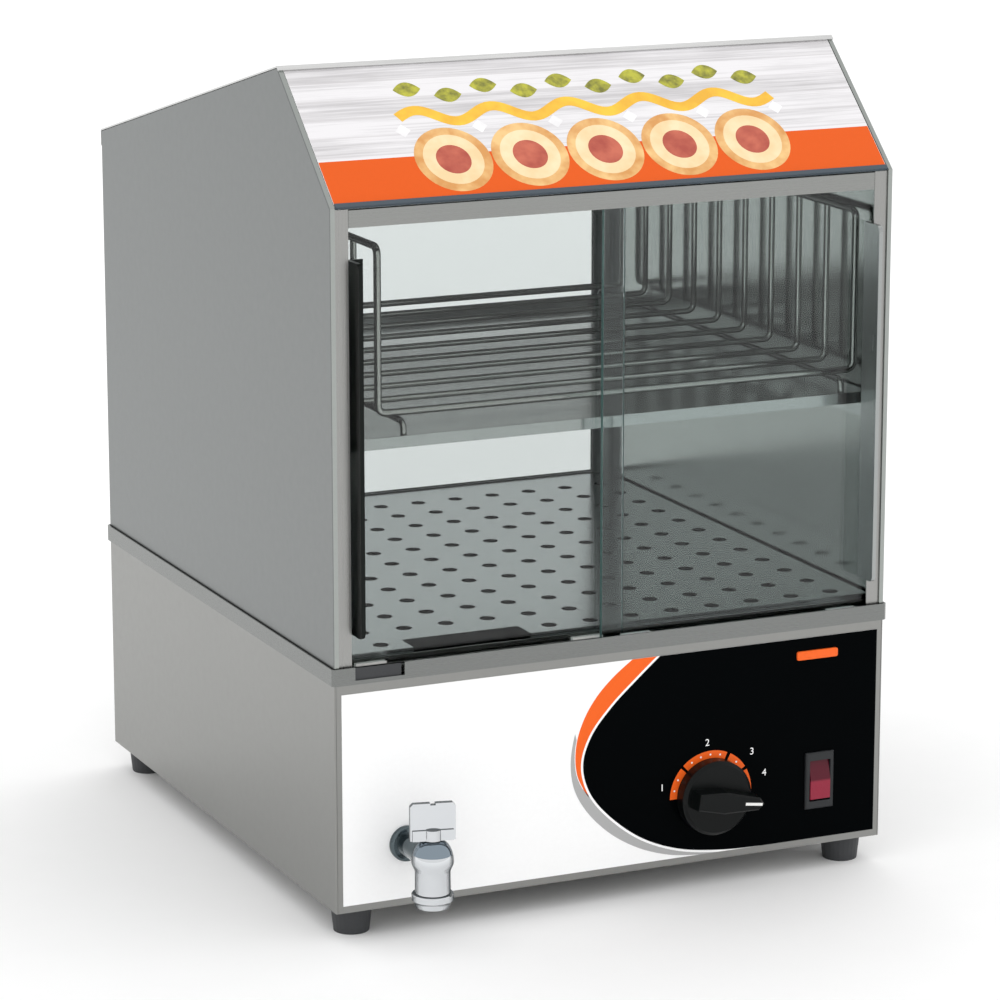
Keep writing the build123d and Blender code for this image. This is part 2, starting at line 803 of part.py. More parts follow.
pointing = radians(pointer_angle)
knob_plane = Plane(
    origin=(dial_x, knob_back, dial_z), x_dir=(cos(pointing), 0, sin(pointing)), z_dir=(0, -1, 0)
)
pointer_middle = grip_reach - pointer_inset - pointer_length / 2
with BuildPart() as control_knob:
    with BuildSketch(knob_plane):
        Circle(knob_radius)
    extrude(amount=knob_height)
    chamfer(control_knob.edges().filter_by(GeomType.CIRCLE).sort_by(Axis.Y)[0], knob_edge)
    with BuildSketch(knob_plane.offset(knob_height)):
        with BuildLine():
            Polyline(
                (0, -grip_width / 2),
                (grip_reach - grip_tip, -grip_tip_width / 2),
                (grip_reach, 0),
                (grip_reach - grip_tip, grip_tip_width / 2),
                (0, grip_width / 2),
                (-grip_tail, grip_tail_width / 2),
                (-grip_tail, -grip_tail_width / 2),
                close=True,
            )
        make_face()
    extrude(amount=grip_height - knob_height, taper=grip_taper)
    chamfer(control_knob.faces().sort_by(Axis.Y)[0].edges(), grip_edge)
    with BuildSketch(knob_plane):
        RegularPolygon(bushing_radius + bushing_clearance, round_sides)
    extrude(amount=knob_socket, mode=Mode.SUBTRACT)
    with BuildSketch(facing(dial_x, flat_start + running_fit, dial_z)):
        Circle(shaft_radius + running_fit)
        with Locations((0, 2 * shaft_radius - shaft_flat + running_fit)):
            Rectangle(2 * shaft_radius, 2 * shaft_radius, mode=Mode.SUBTRACT)
    extrude(amount=flat_start - shaft_tip + 2 * running_fit, mode=Mode.SUBTRACT)
    with BuildSketch(knob_plane.offset(grip_height - pointer_depth)):
        with Locations((pointer_middle, 0)):
            Rectangle(pointer_length, pointer_width)
    extrude(amount=pointer_depth, mode=Mode.SUBTRACT)
write("control_knob", control_knob)

with BuildPart() as knob_pointer:
    with BuildSketch(knob_plane.offset(grip_height - pointer_depth)):
        with Locations((pointer_middle, 0)):
            Rectangle(pointer_length, pointer_width)
    extrude(amount=pointer_depth)
write("knob_pointer", knob_pointer)

bulb_z = under_tank - element_gap - bulb_radius
capillary_z = dial_z + capillary_rise
capillary_turn = (thermostat_back + front + bulb_setback) / 2
with BuildPart() as thermostat_bulb:
    bulb_start = (dial_x, front + bulb_setback, bulb_z)
    rod(
        [
            (dial_x, thermostat_back, capillary_z),
            (dial_x, capillary_turn, capillary_z),
            (dial_x, capillary_turn, bulb_z),
            bulb_start,
        ],
        capillary_bend, capillary_radius,
    )
    with BuildSketch(Plane(origin=bulb_start, z_dir=(0, 1, 0))):
        RegularPolygon(bulb_radius, rod_sides)
    extrude(amount=bulb_length)
write("thermostat_bulb", thermostat_bulb)

# ------------------------------------------------------------------ power switch
bezel_face = label_y - bezel_thickness
pin_y = bezel_face + rocker_pin_depth
rocker_half = rocker_length / 2
pocket_half = hypot(rocker_end, rocker_half) + seam
pin_half = rocker_width / 2 + rocker_pin_reach
with BuildPart() as switch_housing:
    with BuildSketch(facing(switch_x, label_y, rocker_z)):
        Rectangle(bezel_width, bezel_height)
    extrude(amount=bezel_thickness)
    chamfer(switch_housing.faces().sort_by(Axis.Y)[0].edges(), bezel_edge)
    with BuildSketch(facing(switch_x, label_y + switch_body_depth, rocker_z)):
        Rectangle(switch_body_width, switch_body_height)
    extrude(amount=switch_body_depth)
    with BuildSketch(facing(switch_x, bezel_face + pocket_depth, rocker_z)):
        Rectangle(rocker_width + 2 * rocker_play, 2 * pocket_half)
    extrude(amount=pocket_depth, mode=Mode.SUBTRACT)
    with BuildSketch(Plane.YZ.offset(switch_x - pin_half - running_fit)):
        with Locations((pin_y, rocker_z)):
            Circle(rocker_pin_radius + running_fit)
    extrude(amount=2 * (pin_half + running_fit), mode=Mode.SUBTRACT)
    with BuildSketch(facing(switch_x, label_y + switch_body_depth + terminal_length, rocker_z)):
        with GridLocations(0, terminal_pitch, 1, terminals):
            Rectangle(terminal_width, terminal_thickness)
    extrude(amount=terminal_length)
write("switch_housing", switch_housing)

tilt = radians(rocker_tilt)
rocker_plane = Plane(
    origin=(switch_x - rocker_width / 2, pin_y, rocker_z),
    x_dir=(0, -cos(tilt), sin(tilt)),
    z_dir=(1, 0, 0),
)
with BuildPart() as switch_rocker:
    with BuildSketch(rocker_plane):
        with BuildLine():
            Polyline(
                (rocker_ridge, 0),
                (rocker_end, -rocker_half),
                (0, -rocker_half),
                (-rocker_back, -rocker_half / 2),
                (-rocker_back, rocker_half / 2),
                (0, rocker_half),
                (rocker_end, rocker_half),
                close=True,
            )
        make_face()
    extrude(amount=rocker_width)
    with BuildSketch(Plane.YZ.offset(switch_x - pin_half)):
        with Locations((pin_y, rocker_z)):
            Circle(rocker_pin_radius)
    extrude(amount=2 * pin_half)
write("switch_rocker", switch_rocker)

# ------------------------------------------------------------------ indicator
with BuildPart() as indicator_lens:
    with BuildSketch(facing(lens_x, label_y, lamp_z)):
        Rectangle(lens_width, lens_height)
    extrude(amount=lens_proud)
    chamfer(indicator_lens.faces().sort_by(Axis.Y)[0].edges(), lens_edge)
write("indicator_lens", indicator_lens)

with BuildPart() as indicator_lamp:
    with BuildSketch(facing(lens_x, label_y + lamp_depth, lamp_z)):
        Rectangle(lamp_width, lamp_height)
    extrude(amount=lamp_depth)
write("indicator_lamp", indicator_lamp)

# ------------------------------------------------------------------ supply entry
with BuildPart() as cord_gland:
    gland_x = half - gland_from_right
    with BuildSketch(facing(gland_x, rear + gland_head, bottom + gland_z)):
        RegularPolygon(gland_head_radius, round_sides)
    extrude(amount=gland_head)
    with BuildSketch(facing(gland_x, rear, bottom + gland_z)):
        RegularPolygon(gland_radius, round_sides)
    extrude(amount=gland_length)
    with BuildSketch(facing(gland_x, rear + gland_head, bottom + gland_z)):
        Circle(gland_bore)
    extrude(amount=gland_head + gland_length, mode=Mode.SUBTRACT)
write("cord_gland", cord_gland)

block_x = half - block_from_right
block_y = rear - block_from_rear
block_z = bottom + sheet
with BuildPart() as terminal_block:
    slab(
        block_x - block_width / 2, block_x + block_width / 2,
        block_y - block_depth / 2, block_y + block_depth / 2,
        block_z, block_z + block_height,
    )
    with BuildSketch(Plane.XY.offset(block_z + block_height / 2)):
        with Locations((block_x, block_y)):
            with GridLocations(block_width / block_poles, 0, block_poles, 1):
                Rectangle(block_recess, block_recess)
    extrude(amount=block_height, mode=Mode.SUBTRACT)
write("terminal_block", terminal_block)

# ------------------------------------------------------------------ door tracks
track_rear = track_y + track_depth
lip_places = [track_y + n * (slot_width + track_lip) for n in range(3)]
with BuildPart() as lower_track:
    slab(-track_half, track_half, track_y, track_rear, deck_z, track_floor_top)
    for y, lip in zip(lip_places, (lower_lip_height, lower_lip_height, rear_lip_height)):
        slab(-track_half, track_half, y, y + track_lip, track_floor_top, deck_z + lip)
write("lower_track", lower_track)

web_top = post_top - sheet - seam
with BuildPart() as upper_track:
    slab(-track_half, track_half, track_y, track_rear, web_top - sheet, web_top)
    for y in lip_places:
        slab(
            -track_half, track_half, y, y + track_lip,
            web_top - upper_lip_height, web_top - sheet,
        )
write("upper_track", upper_track)

# ------------------------------------------------------------------ posts and header
for name, side in (("left_front_post", -1), ("right_front_post", 1)):
    with BuildPart() as post:
        with BuildSketch(Plane.XY.offset(deck_z)):
            outer = side * plate_half
            with BuildLine():
                Polyline(
                    (side * post_inner, post_y),
                    (outer, post_y),
                    (outer, post_y + post_leg),
                    (outer - side * sheet, post_y + post_leg),
                    (outer - side * sheet, post_y + sheet),
                    (side * post_inner, post_y + sheet),
                    close=True,
                )
            make_face()
        extrude(amount=post_top - deck_z)
    write(name, post)

header_half = post_inner - seam
with BuildPart() as front_header:
    slab(
        -header_half, header_half, post_y, post_y + sheet,
        header_bottom, post_top,
    )
    slab(
        -header_half, header_half, post_y, track_rear,
        post_top - sheet, post_top,
    )
    fold = front_header.edges().filter_by(Axis.X).group_by(Axis.Z)[-1].sort_by(Axis.Y)[0]
    chamfer(fold, fold_edge)
write("front_header", front_header)

# ------------------------------------------------------------------ cabinet sides and roof
def gable_outline(foot):
    """Corners of a cabinet side, as (y, z), standing on the given height."""
    return [
        (front, foot),
        (rear, foot),
        (rear, rear_top),
        (gable.Y, gable.Z),
        (front, sign_foot),
    ]


for name, side in (("left_side_panel", -1), ("right_side_panel", 1)):
    with BuildPart() as side_panel:
        with BuildSketch(Plane.YZ.offset(side * half)):
            Polygon(*gable_outline(deck_z), align=None)
        extrude(amount=-side * hem_width)
        folds = side_panel.faces().sort_by(Axis.X)[(side - 1) // 2 * -1 - 1].edges()
        chamfer([edge for edge in folds if edge.center().Z > deck_z + sheet], fold_edge)
        with BuildSketch(Plane.YZ.offset(side * (half - sheet))):
            Polygon(*gable_outline(deck_z - hem_width), align=None)
            offset(amount=-sheet, kind=Kind.INTERSECTION)
        extrude(amount=-side * hem_width, mode=Mode.SUBTRACT)
    write(name, side_panel)

roof_foot = rear_top - seam * tan(roof_angle)
with BuildPart() as roof_panel:
    with BuildSketch(Plane.YZ.offset(-half)):
        with BuildLine():
            Polyline(
                (rear + seam, rear_top - roof_drip),
                (rear + seam, roof_foot),
                (gable.Y, gable.Z),
                (gable.Y - roof_hem * cos(sign_angle), gable.Z - roof_hem * sin(sign_angle)),
            )
            offset(amount=sheet, side=Side.RIGHT, kind=Kind.INTERSECTION)
        make_face()
    extrude(amount=cabinet_width)
write("roof_panel", roof_panel)

# ------------------------------------------------------------------ sloping sign
sign_plane = Plane(
    origin=(0, front, sign_foot), x_dir=(1, 0, 0), z_dir=(0, -sin(sign_angle), cos(sign_angle))
)
face_half = half - hem_width - sign_gap
back_depth = sheet + seam  # sign's back plate, behind the turned edges


with BuildPart() as sign_backing:
    with BuildSketch(sign_plane.offset(-back_depth - sheet)) as backing:
        with Locations((0, sign_length / 2)):
            Rectangle(2 * plate_half, sign_length - 4 * sheet)
    extrude(amount=sheet)
write("sign_backing", sign_backing)

strip_start = 2 * seam
with BuildPart() as sign_retainer:
    with BuildSketch(sign_plane.offset(-back_depth)):
        with Locations((0, strip_start + sheet / 2)):
            Rectangle(2 * face_half, sheet)
    extrude(amount=back_depth + retainer_thickness)
    with BuildSketch(sign_plane):
        with Locations((0, strip_start + retainer_lip / 2)):
            Rectangle(2 * face_half, retainer_lip)
    extrude(amount=retainer_thickness)
write("sign_retainer", sign_retainer)

face_start = strip_start + sheet + seam
face_end = sign_length - sheet
with BuildPart() as sign_face:
    with BuildSketch(sign_plane.offset(-back_depth)):
        with Locations((0, (face_start + face_end) / 2)):
            Rectangle(2 * face_half, face_end - face_start)
    extrude(amount=sign_thickness)
write("sign_face", sign_face)

# ------------------------------------------------------------------ rear window
frame_rear = rear - sheet - seam
frame_front = frame_rear - sheet
frame_top = rear_top - sheet - seam
window_half = half - rear_frame_side
window_low = deck_z + rear_frame_sill
window_high = frame_top - rear_frame_head
with BuildPart() as rear_frame:
    slab(-plate_half, plate_half, frame_front, frame_rear, deck_z, frame_top)
    slab(
        -window_half, window_half, frame_front, frame_rear,
        window_low, window_high, Mode.SUBTRACT,
    )
write("rear_frame", rear_frame)

pane_half = window_half + pane_overlap
pane_low = window_low - pane_overlap
pane_high = window_high + pane_overlap
pane_rear = frame_front - seal_thickness
with BuildPart() as rear_glass:
    slab(-pane_half, pane_half, pane_rear - glass, pane_rear, pane_low, pane_high)
write("rear_glass", rear_glass)

with BuildPart() as rear_glass_seal:
    slab(-pane_half, pane_half, pane_rear, frame_front, pane_low, pane_high)
    slab(
        seal_width - pane_half, pane_half - seal_width, pane_rear, frame_front,
        pane_low + seal_width, pane_high - seal_width, Mode.SUBTRACT,
    )
write("rear_glass_seal", rear_glass_seal)

# ------------------------------------------------------------------ sliding doors
doors = [
    ("left", left_door_x, rear_glass_y, handle_edge_gap - post_inner),
    ("right", right_door_x, front_glass_y, post_inner - handle_edge_gap - handle_thickness),
]
for side, door_x, glass_y, fin_x in doors:
    with BuildPart() as door_glass:
        slab(
            door_x, door_x + door_width, glass_y, glass_y + glass,
            glass_bottom, glass_top,
        )
    write(f"{side}_door_glass", door_glass)

    slot_front = glass_y - slot_play
    with BuildPart() as door_glides:
        glide_z = track_floor_top + rest_gap
        for x in (door_x + glide_inset, door_x + door_width - glide_inset - glide_length):
            slab(
                x, x + glide_length,
                slot_front + glide_play, slot_front + slot_width - glide_play,
                glide_z, glide_z + glide_height,
            )
            slab(
                x, x + glide_length, glass_y, glass_y + glass,
                glass_bottom, glide_z + glide_height, Mode.SUBTRACT,
            )
    write(f"{side}_door_glides", door_glides)

    handle_low = glass_bottom + handle_rise
    handle_high = handle_low + handle_length
    with BuildPart() as door_handle:
        slab(
            fin_x, fin_x + handle_thickness, glass_y - handle_depth, glass_y,
            handle_low, handle_high,
        )
        corners = door_handle.edges().filter_by(Axis.X).group_by(Axis.Y)[0]
        fillet(corners, handle_corner)
        slab(
            fin_x, fin_x + handle_foot, glass_y - handle_foot_thickness, glass_y,
            handle_low, handle_high,
        )
    write(f"{side}_door_handle", door_handle)

# ------------------------------------------------------------------ bun shelf and rack
inner_half = half - sheet
shelf_front = front + shelf_front_setback
shelf_rear = rear - shelf_rear_gap
with BuildPart() as shelf_ledges:
    for side in (-1, 1):
        wall = side * inner_half
        leg = side * (inner_half - sheet)
        tip = side * (inner_half - ledge_leg)
        top = shelf_z - sheet
        slab(
            min(wall, leg), max(wall, leg),
            shelf_front + ledge_end, shelf_rear - ledge_end, top - ledge_drop, top,
        )
        slab(
            min(wall, tip), max(wall, tip),
            shelf_front + ledge_end, shelf_rear - ledge_end, top - sheet, top,
        )
write("shelf_ledges", shelf_ledges)

shelf_half = inner_half - shelf_side_gap
with BuildPart() as bun_shelf:
    slab(
        -shelf_half, shelf_half, shelf_front, shelf_rear,
        shelf_z - sheet, shelf_z + shelf_rim,
    )
    slab(
        sheet - shelf_half, shelf_half - sheet, shelf_front + sheet, shelf_rear - sheet,
        shelf_z, shelf_z + shelf_rim, Mode.SUBTRACT,
    )
write("bun_shelf", bun_shelf)

riser_left = rack_left - half
riser_right = half - rack_right_gap
rack_low = shelf_z + rack_floor_rise
rack_top = rack_low + rack_height
rack_pitch = (cabinet_depth - rack_front_setback - rack_rear_setback) / (rack_wires - 1)
rack_places = [front + rack_front_setback + n * rack_pitch for n in range(rack_wires)]
rack_middle = (rack_places[0] + rack_places[-1]) / 2
runner_z = rack_low - wire + weld_depth
with BuildPart() as bun_rack:
    for end in (rack_places[0], rack_places[-1]):
        rod(
            [
                (riser_left, rack_middle, rack_top),
                (riser_left, end, rack_top),
                (riser_left, end, rack_low),
                (riser_right, end, rack_low),
                (riser_right, end, rack_top),
                (riser_right, rack_middle, rack_top),
            ],
            rack_bend, rail_wire / 2,
        )
    for y in rack_places[1:-1]:
        rod(
            [
                (riser_left, y, rack_top),
                (riser_left, y, rack_low),
                (riser_right, y, rack_low),
                (riser_right, y, rack_top),
            ],
            rack_bend, wire / 2,
        )
    for x in (riser_left + runner_inset, riser_right - runner_inset):
        rod(
            [
                (x, rack_places[0] - runner_reach, shelf_z + rest_gap),
                (x, rack_places[0] - runner_reach, runner_z),
                (x, rack_places[-1] + runner_reach, runner_z),
                (x, rack_places[-1] + runner_reach, shelf_z + rest_gap),
            ],
            runner_bend, wire / 2,
        )
write("bun_rack", bun_rack)

# ------------------------------------------------------------------ perforated floor tray
tray_half = inner_half - tray_side_gap
tray_front = track_rear + tray_front_gap
tray_rear = rear - tray_rear_gap
tray_foot = deck_z + sheet + rest_gap
fill_left = fill_start - half
fill_right = fill_left + fill_width
fill_rear = tray_front + fill_depth
clear = hole_radius + sheet
grid = [
    (first_hole_x - half + column * hole_pitch_x, front + first_hole_y + row * hole_pitch_y)
    for column in range(hole_columns)
    for row in range(hole_rows)
]
holes = [
    (x, y)
    for x, y in grid
    if not (fill_left - clear < x < fill_right + clear and y < fill_rear + clear)
]
tray_middle = (0, (tray_front + tray_rear) / 2)
fill_middle = (fill_left + fill_width / 2, tray_front + fill_depth / 2)
with BuildPart() as perforated_tray:
    with BuildSketch(Plane.XY.offset(tray_top - sheet)):
        with Locations(tray_middle):
            Rectangle(2 * tray_half, tray_rear - tray_front)
        with Locations(fill_middle):
            Rectangle(fill_width, fill_depth, mode=Mode.SUBTRACT)
        with Locations(*holes):
            RegularPolygon(hole_radius, hole_sides, mode=Mode.SUBTRACT)
    extrude(amount=sheet)
    with BuildSketch(Plane.XY.offset(tray_foot)):
        with Locations(tray_middle):
            Rectangle(2 * tray_half, tray_rear - tray_front)
        with Locations(fill_middle):
            Rectangle(fill_width, fill_depth, mode=Mode.SUBTRACT)
        offset(amount=-sheet, kind=Kind.INTERSECTION, mode=Mode.SUBTRACT)
    extrude(amount=tray_top - sheet - tray_foot)
write("perforated_tray", perforated_tray)
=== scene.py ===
"""Looks of the countertop steamer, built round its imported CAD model."""

import math

import bmesh
import bpy
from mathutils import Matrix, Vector


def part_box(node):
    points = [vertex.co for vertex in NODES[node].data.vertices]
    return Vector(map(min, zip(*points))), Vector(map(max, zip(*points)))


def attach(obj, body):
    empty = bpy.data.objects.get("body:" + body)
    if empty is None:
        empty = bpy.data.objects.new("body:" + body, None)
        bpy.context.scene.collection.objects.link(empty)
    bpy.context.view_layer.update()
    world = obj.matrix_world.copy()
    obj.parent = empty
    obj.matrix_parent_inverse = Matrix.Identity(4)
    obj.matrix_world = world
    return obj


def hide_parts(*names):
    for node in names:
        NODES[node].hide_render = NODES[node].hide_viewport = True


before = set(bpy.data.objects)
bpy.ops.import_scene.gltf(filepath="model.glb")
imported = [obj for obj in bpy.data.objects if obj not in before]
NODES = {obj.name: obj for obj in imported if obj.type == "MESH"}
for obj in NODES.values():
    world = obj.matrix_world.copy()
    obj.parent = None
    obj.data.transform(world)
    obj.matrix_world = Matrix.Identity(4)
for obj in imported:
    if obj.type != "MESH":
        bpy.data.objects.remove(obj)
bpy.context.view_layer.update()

# Lengths are in mm until MM turns them into the frame's metres.
MM = 0.001
WIDTH = 375.0  # the cabinet's
HALF = WIDTH / 2
FRONT = -175.45  # y of the front face
LABEL_Y = -0.4  # the label's face, from the front face
FOOT = 17.5  # z of the casing's underside
PEAK = (-94.45, 520.5)  # y and z of the gable's peak
SIGN_FOOT = 447.5  # z of the sign's lower edge


def at(x, y, z):
    """A place given in mm from the casing's lower left front corner, in the model's metres."""
    return Vector(((x - HALF) * MM, (FRONT + y) * MM, (FOOT + z) * MM))


# ---------------------------------------------------------------- materials
class Nodes:
    """A material's node tree, with short calls to add to it."""

    def __init__(self, name):
        self.material = bpy.data.materials.new(name)
        self.material.use_nodes = True
        self.tree = self.material.node_tree
        self.bsdf = self.tree.nodes["Principled BSDF"]
        self.output = self.tree.nodes["Material Output"]

    def add(self, kind, **values):
        node = self.tree.nodes.new(kind)
        for key, value in values.items():
            setattr(node, key, value)
        return node

    def set(self, **values):
        """The shader's own sockets, with _ for each space in their names."""
        for key, value in values.items():
            self.bsdf.inputs[key.replace("_", " ")].default_value = value

    def link(self, source, target):
        self.tree.links.new(source, target)

    def place(self, scale):
        """Object coordinates, stretched."""
        where = self.add("ShaderNodeTexCoord")
        stretch = self.add("ShaderNodeMapping")
        stretch.inputs["Scale"].default_value = scale
        self.link(where.outputs["Object"], stretch.inputs["Vector"])
        return stretch.outputs["Vector"]

    def along(self, axis):
        """One of the object coordinates."""
        where = self.add("ShaderNodeTexCoord")
        parts = self.add("ShaderNodeSeparateXYZ")
        self.link(where.outputs["Object"], parts.inputs[0])
        return parts.outputs[axis]

    def maths(self, operation, *terms):
        """A sum of terms that are numbers or other nodes' outputs."""
        node = self.add("ShaderNodeMath", operation=operation)
        for socket, term in zip(node.inputs, terms):
            if isinstance(term, float):
                socket.default_value = term
            else:
                self.link(term, socket)
        return node.outputs[0]

    def mix(self, factor, first, second):
        """Two colours mixed: the first is an output or a plain colour."""
        node = self.add("ShaderNodeMix", data_type="RGBA")
        self.link(factor, node.inputs["Factor"])
        if isinstance(first, tuple):
            node.inputs["A"].default_value = first
        else:
            self.link(first, node.inputs["A"])
        self.link(second, node.inputs["B"])
        return node.outputs["Result"]

    def noise(self, scale, detail=4.0, rough=0.55):
        """Noise between 0 and 1, with its scale along X, Y and Z."""
        node = self.add("ShaderNodeTexNoise")
        node.inputs["Scale"].default_value = 1.0
        node.inputs["Detail"].default_value = detail
        node.inputs["Roughness"].default_value = rough
        self.link(self.place(scale), node.inputs["Vector"])
        return node.outputs["Fac"]

    def spread(self, value, low, high, start=0.0, end=1.0):
        """A value's range from start to end, moved to low to high."""
        node = self.add("ShaderNodeMapRange")
        node.inputs["From Min"].default_value = start
        node.inputs["From Max"].default_value = end
        node.inputs["To Min"].default_value = low
        node.inputs["To Max"].default_value = high
        self.link(value, node.inputs["Value"])
        return node.outputs["Result"]

    def tones(self, value, dark, light, start=0.3, end=0.7):
        """A colour between two, by a value between start and end."""
        node = self.add("ShaderNodeValToRGB")
        node.color_ramp.elements[0].position = start
        node.color_ramp.elements[0].color = (*dark, 1)
        node.color_ramp.elements[1].position = end
        node.color_ramp.elements[1].color = (*light, 1)
        self.link(value, node.inputs["Fac"])
        return node.outputs["Color"]

    def bump(self, height, strength, distance):
        node = self.add("ShaderNodeBump")
        node.inputs["Strength"].default_value = strength
        node.inputs["Distance"].default_value = distance
        self.link(height, node.inputs["Height"])
        self.link(node.outputs["Normal"], self.bsdf.inputs["Normal"])


def shade(color, share):
    """A colour made lighter or darker."""
    return tuple(min(1.0, c * share) for c in color)


def steel(name, color, rough, grain, swing=0.05, streak=0.10, depth=0.00002):
    """Sheet metal with a fine grain: the grain's scale is along X, Y and Z."""
    m = Nodes(name)
    m.set(Metallic=1.0)
    fine = m.noise(grain, 5.0, 0.6)
    broad = m.noise((7, 7, 7), 2.0)
    both = m.maths("MULTIPLY_ADD", broad, 0.35, fine)
    tone = m.tones(both, shade(color, 1 - swing), shade(color, 1 + swing), 0.42, 0.92)
    m.link(tone, m.bsdf.inputs["Base Color"])
    m.link(m.spread(fine, rough - streak, rough + streak, 0.25, 0.75), m.bsdf.inputs["Roughness"])
    m.bump(fine, 0.25, depth)
    return m.material


def plastic(name, color, rough, grain=2500.0, depth=0.00002, swing=0.08, coat=0.0, gloss=0.5):
    """Moulded plastic or rubber with a fine, even grain."""
    m = Nodes(name)
    fine = m.noise((grain, grain, grain), 2.0)
    tone = m.tones(fine, shade(color, 1 - swing), shade(color, 1 + swing))
    m.link(tone, m.bsdf.inputs["Base Color"])
    m.link(m.spread(fine, rough - 0.05, rough + 0.05), m.bsdf.inputs["Roughness"])
    m.set(Coat_Weight=coat, Coat_Roughness=0.08, Specular_IOR_Level=gloss)
    m.bump(fine, 0.3, depth)
    return m.material


def painted_shade_above_level(name, low, high, level):
    """Moulded red plastic with painted light: a lighter colour below a level as a painted
    highlight, and painted shade above it.
    """
    m = Nodes(name)
    height = m.spread(m.along("Z"), 0.0, 1.0, level - 0.6 * MM, level + 1.0 * MM)
    m.link(m.tones(height, low, high, 0.0, 1.0), m.bsdf.inputs["Base Color"])
    m.set(Roughness=0.16, Specular_IOR_Level=0.3)
    return m.material


def print_film(name, color, rough=0.22, gloss=0.12):
    """Printed film: a flat colour with a slight orange peel in its gloss."""
    m = Nodes(name)
    peel = m.noise((420, 420, 420), 2.0)
    m.link(m.tones(peel, shade(color, 0.985), color), m.bsdf.inputs["Base Color"])
    m.link(m.spread(peel, rough - 0.04, rough + 0.04), m.bsdf.inputs["Roughness"])
    m.set(Specular_IOR_Level=gloss)
    m.bump(peel, 0.06, 0.00004)
    return m.material


def pane(name, tint, foot=1.0):
    """Glass. The foot is the share of light that still passes at its darker lower edge."""
    m = Nodes(name)
    height = m.spread(m.along("Z"), 0.0, 1.0, 0.20, 0.36)
    tone = m.tones(height, shade(tint, foot), tint, 0.0, 1.0)
    m.link(tone, m.bsdf.inputs["Base Color"])
    m.set(Transmission_Weight=1.0, Roughness=0.0, IOR=1.33)
    path = m.add("ShaderNodeLightPath")
    clear = m.add("ShaderNodeBsdfTransparent")
    m.link(tone, clear.inputs["Color"])
    unbent = m.maths("MAXIMUM", path.outputs["Is Shadow Ray"], path.outputs["Is Diffuse Ray"])
    mix = m.add("ShaderNodeMixShader")
    m.link(unbent, mix.inputs[0])
    m.link(m.bsdf.outputs[0], mix.inputs[1])
    m.link(clear.outputs[0], mix.inputs[2])
    m.link(mix.outputs[0], m.output.inputs["Surface"])
    return m.material


def plating_with_painted_reflection(name, face, rim, rough=0.06, start=0.55, end=0.92):
    """Bright plating with a painted reflection: its colour goes from the face, where it is met
    square on, to the rim towards its outline; mostly lighter on the face and darker at the rim.
    """
    m = Nodes(name)
    m.set(Specular_IOR_Level=0.1)
    weight = m.add("ShaderNodeLayerWeight")
    weight.inputs["Blend"].default_value = 0.5
    turn = weight.outputs["Facing"]
    cloud = m.noise((90, 90, 90), 2.0)
    m.link(m.spread(cloud, rough - 0.02, rough + 0.03), m.bsdf.inputs["Roughness"])
    m.link(m.spread(turn, 1.0, 0.12, start, end), m.bsdf.inputs["Metallic"])
    m.link(m.tones(turn, face, rim, start, end), m.bsdf.inputs["Base Color"])
    return m.material


def lined(name, outer, inner, edge):
    """Side sheets, ground outside and polished inside. The edge is the |X| between the two."""
    m = Nodes(name)
    m.set(Metallic=1.0)
    inside = m.maths("LESS_THAN", m.maths("ABSOLUTE", m.along("X")), edge)
    fine = m.noise((160, 160, 160), 5.0, 0.6)
    ground = m.tones(fine, shade(outer, 0.97), shade(outer, 1.03))
    polished = m.tones(fine, shade(inner, 0.98), shade(inner, 1.02))
    m.link(m.mix(inside, ground, polished), m.bsdf.inputs["Base Color"])
    m.link(m.spread(inside, 0.34, 0.17), m.bsdf.inputs["Roughness"])
    m.bump(fine, 0.25, 0.00001)
    return m.material


ALONG_X, ALONG_Z = (14, 1500, 1500), (1500, 1500, 14)  # the way in which the grain is brushed
# These platings paint their reflections into their colour: chrome and wire lighter on the face and
# dark at the outline, and two darker chrome copies as painted reflections on the tap's inlet,
# flange and dome top.
chrome = plating_with_painted_reflection("chrome", (0.66, 0.68, 0.70), (0.03, 0.04, 0.045), 0.06, 0.38, 0.72)
wire_steel = plating_with_painted_reflection("wire_steel", (0.34, 0.35, 0.33), (0.012, 0.015, 0.014), 0.12, 0.18, 0.62)
painted_grey_reflection_chrome = plating_with_painted_reflection("painted_grey_reflection_chrome", (0.24, 0.29, 0.335), (0.02, 0.03, 0.035), 0.06, 0.45, 0.85)
painted_dark_reflection_chrome = plating_with_painted_reflection("painted_dark_reflection_chrome", (0.10, 0.125, 0.135), (0.50, 0.52, 0.53), 0.10)
side_steel = lined("side_steel", (0.198, 0.208, 0.206), (0.34, 0.36, 0.345), 0.1871)
base_steel = steel("base_steel", (0.285, 0.286, 0.275), 0.34, (160, 160, 160), 0.03, 0.05, 0.00001)
post_steel = steel("post_steel", (0.33, 0.33, 0.32), 0.30, ALONG_Z, depth=0.000004)
rail_steel = steel("rail_steel", (0.285, 0.29, 0.28), 0.28, ALONG_X, depth=0.000004)
band_steel = steel("band_steel", (0.205, 0.212, 0.206), 0.28, ALONG_X, depth=0.000004)
# Painted light: the roof's steel is much lighter than the same steel on the sides, standing for
# its lit upward face.
roof_steel_painted_light = steel("roof_steel_painted_light", (0.62, 0.62, 0.615), 0.30, ALONG_X)
inner_steel = steel("inner_steel", (0.41, 0.43, 0.42), 0.18, (220, 220, 60), 0.02, 0.015, 0.0)
tray_steel = steel("tray_steel", (0.39, 0.42, 0.42), 0.20, (30, 400, 400), 0.02, 0.02, 0.0)
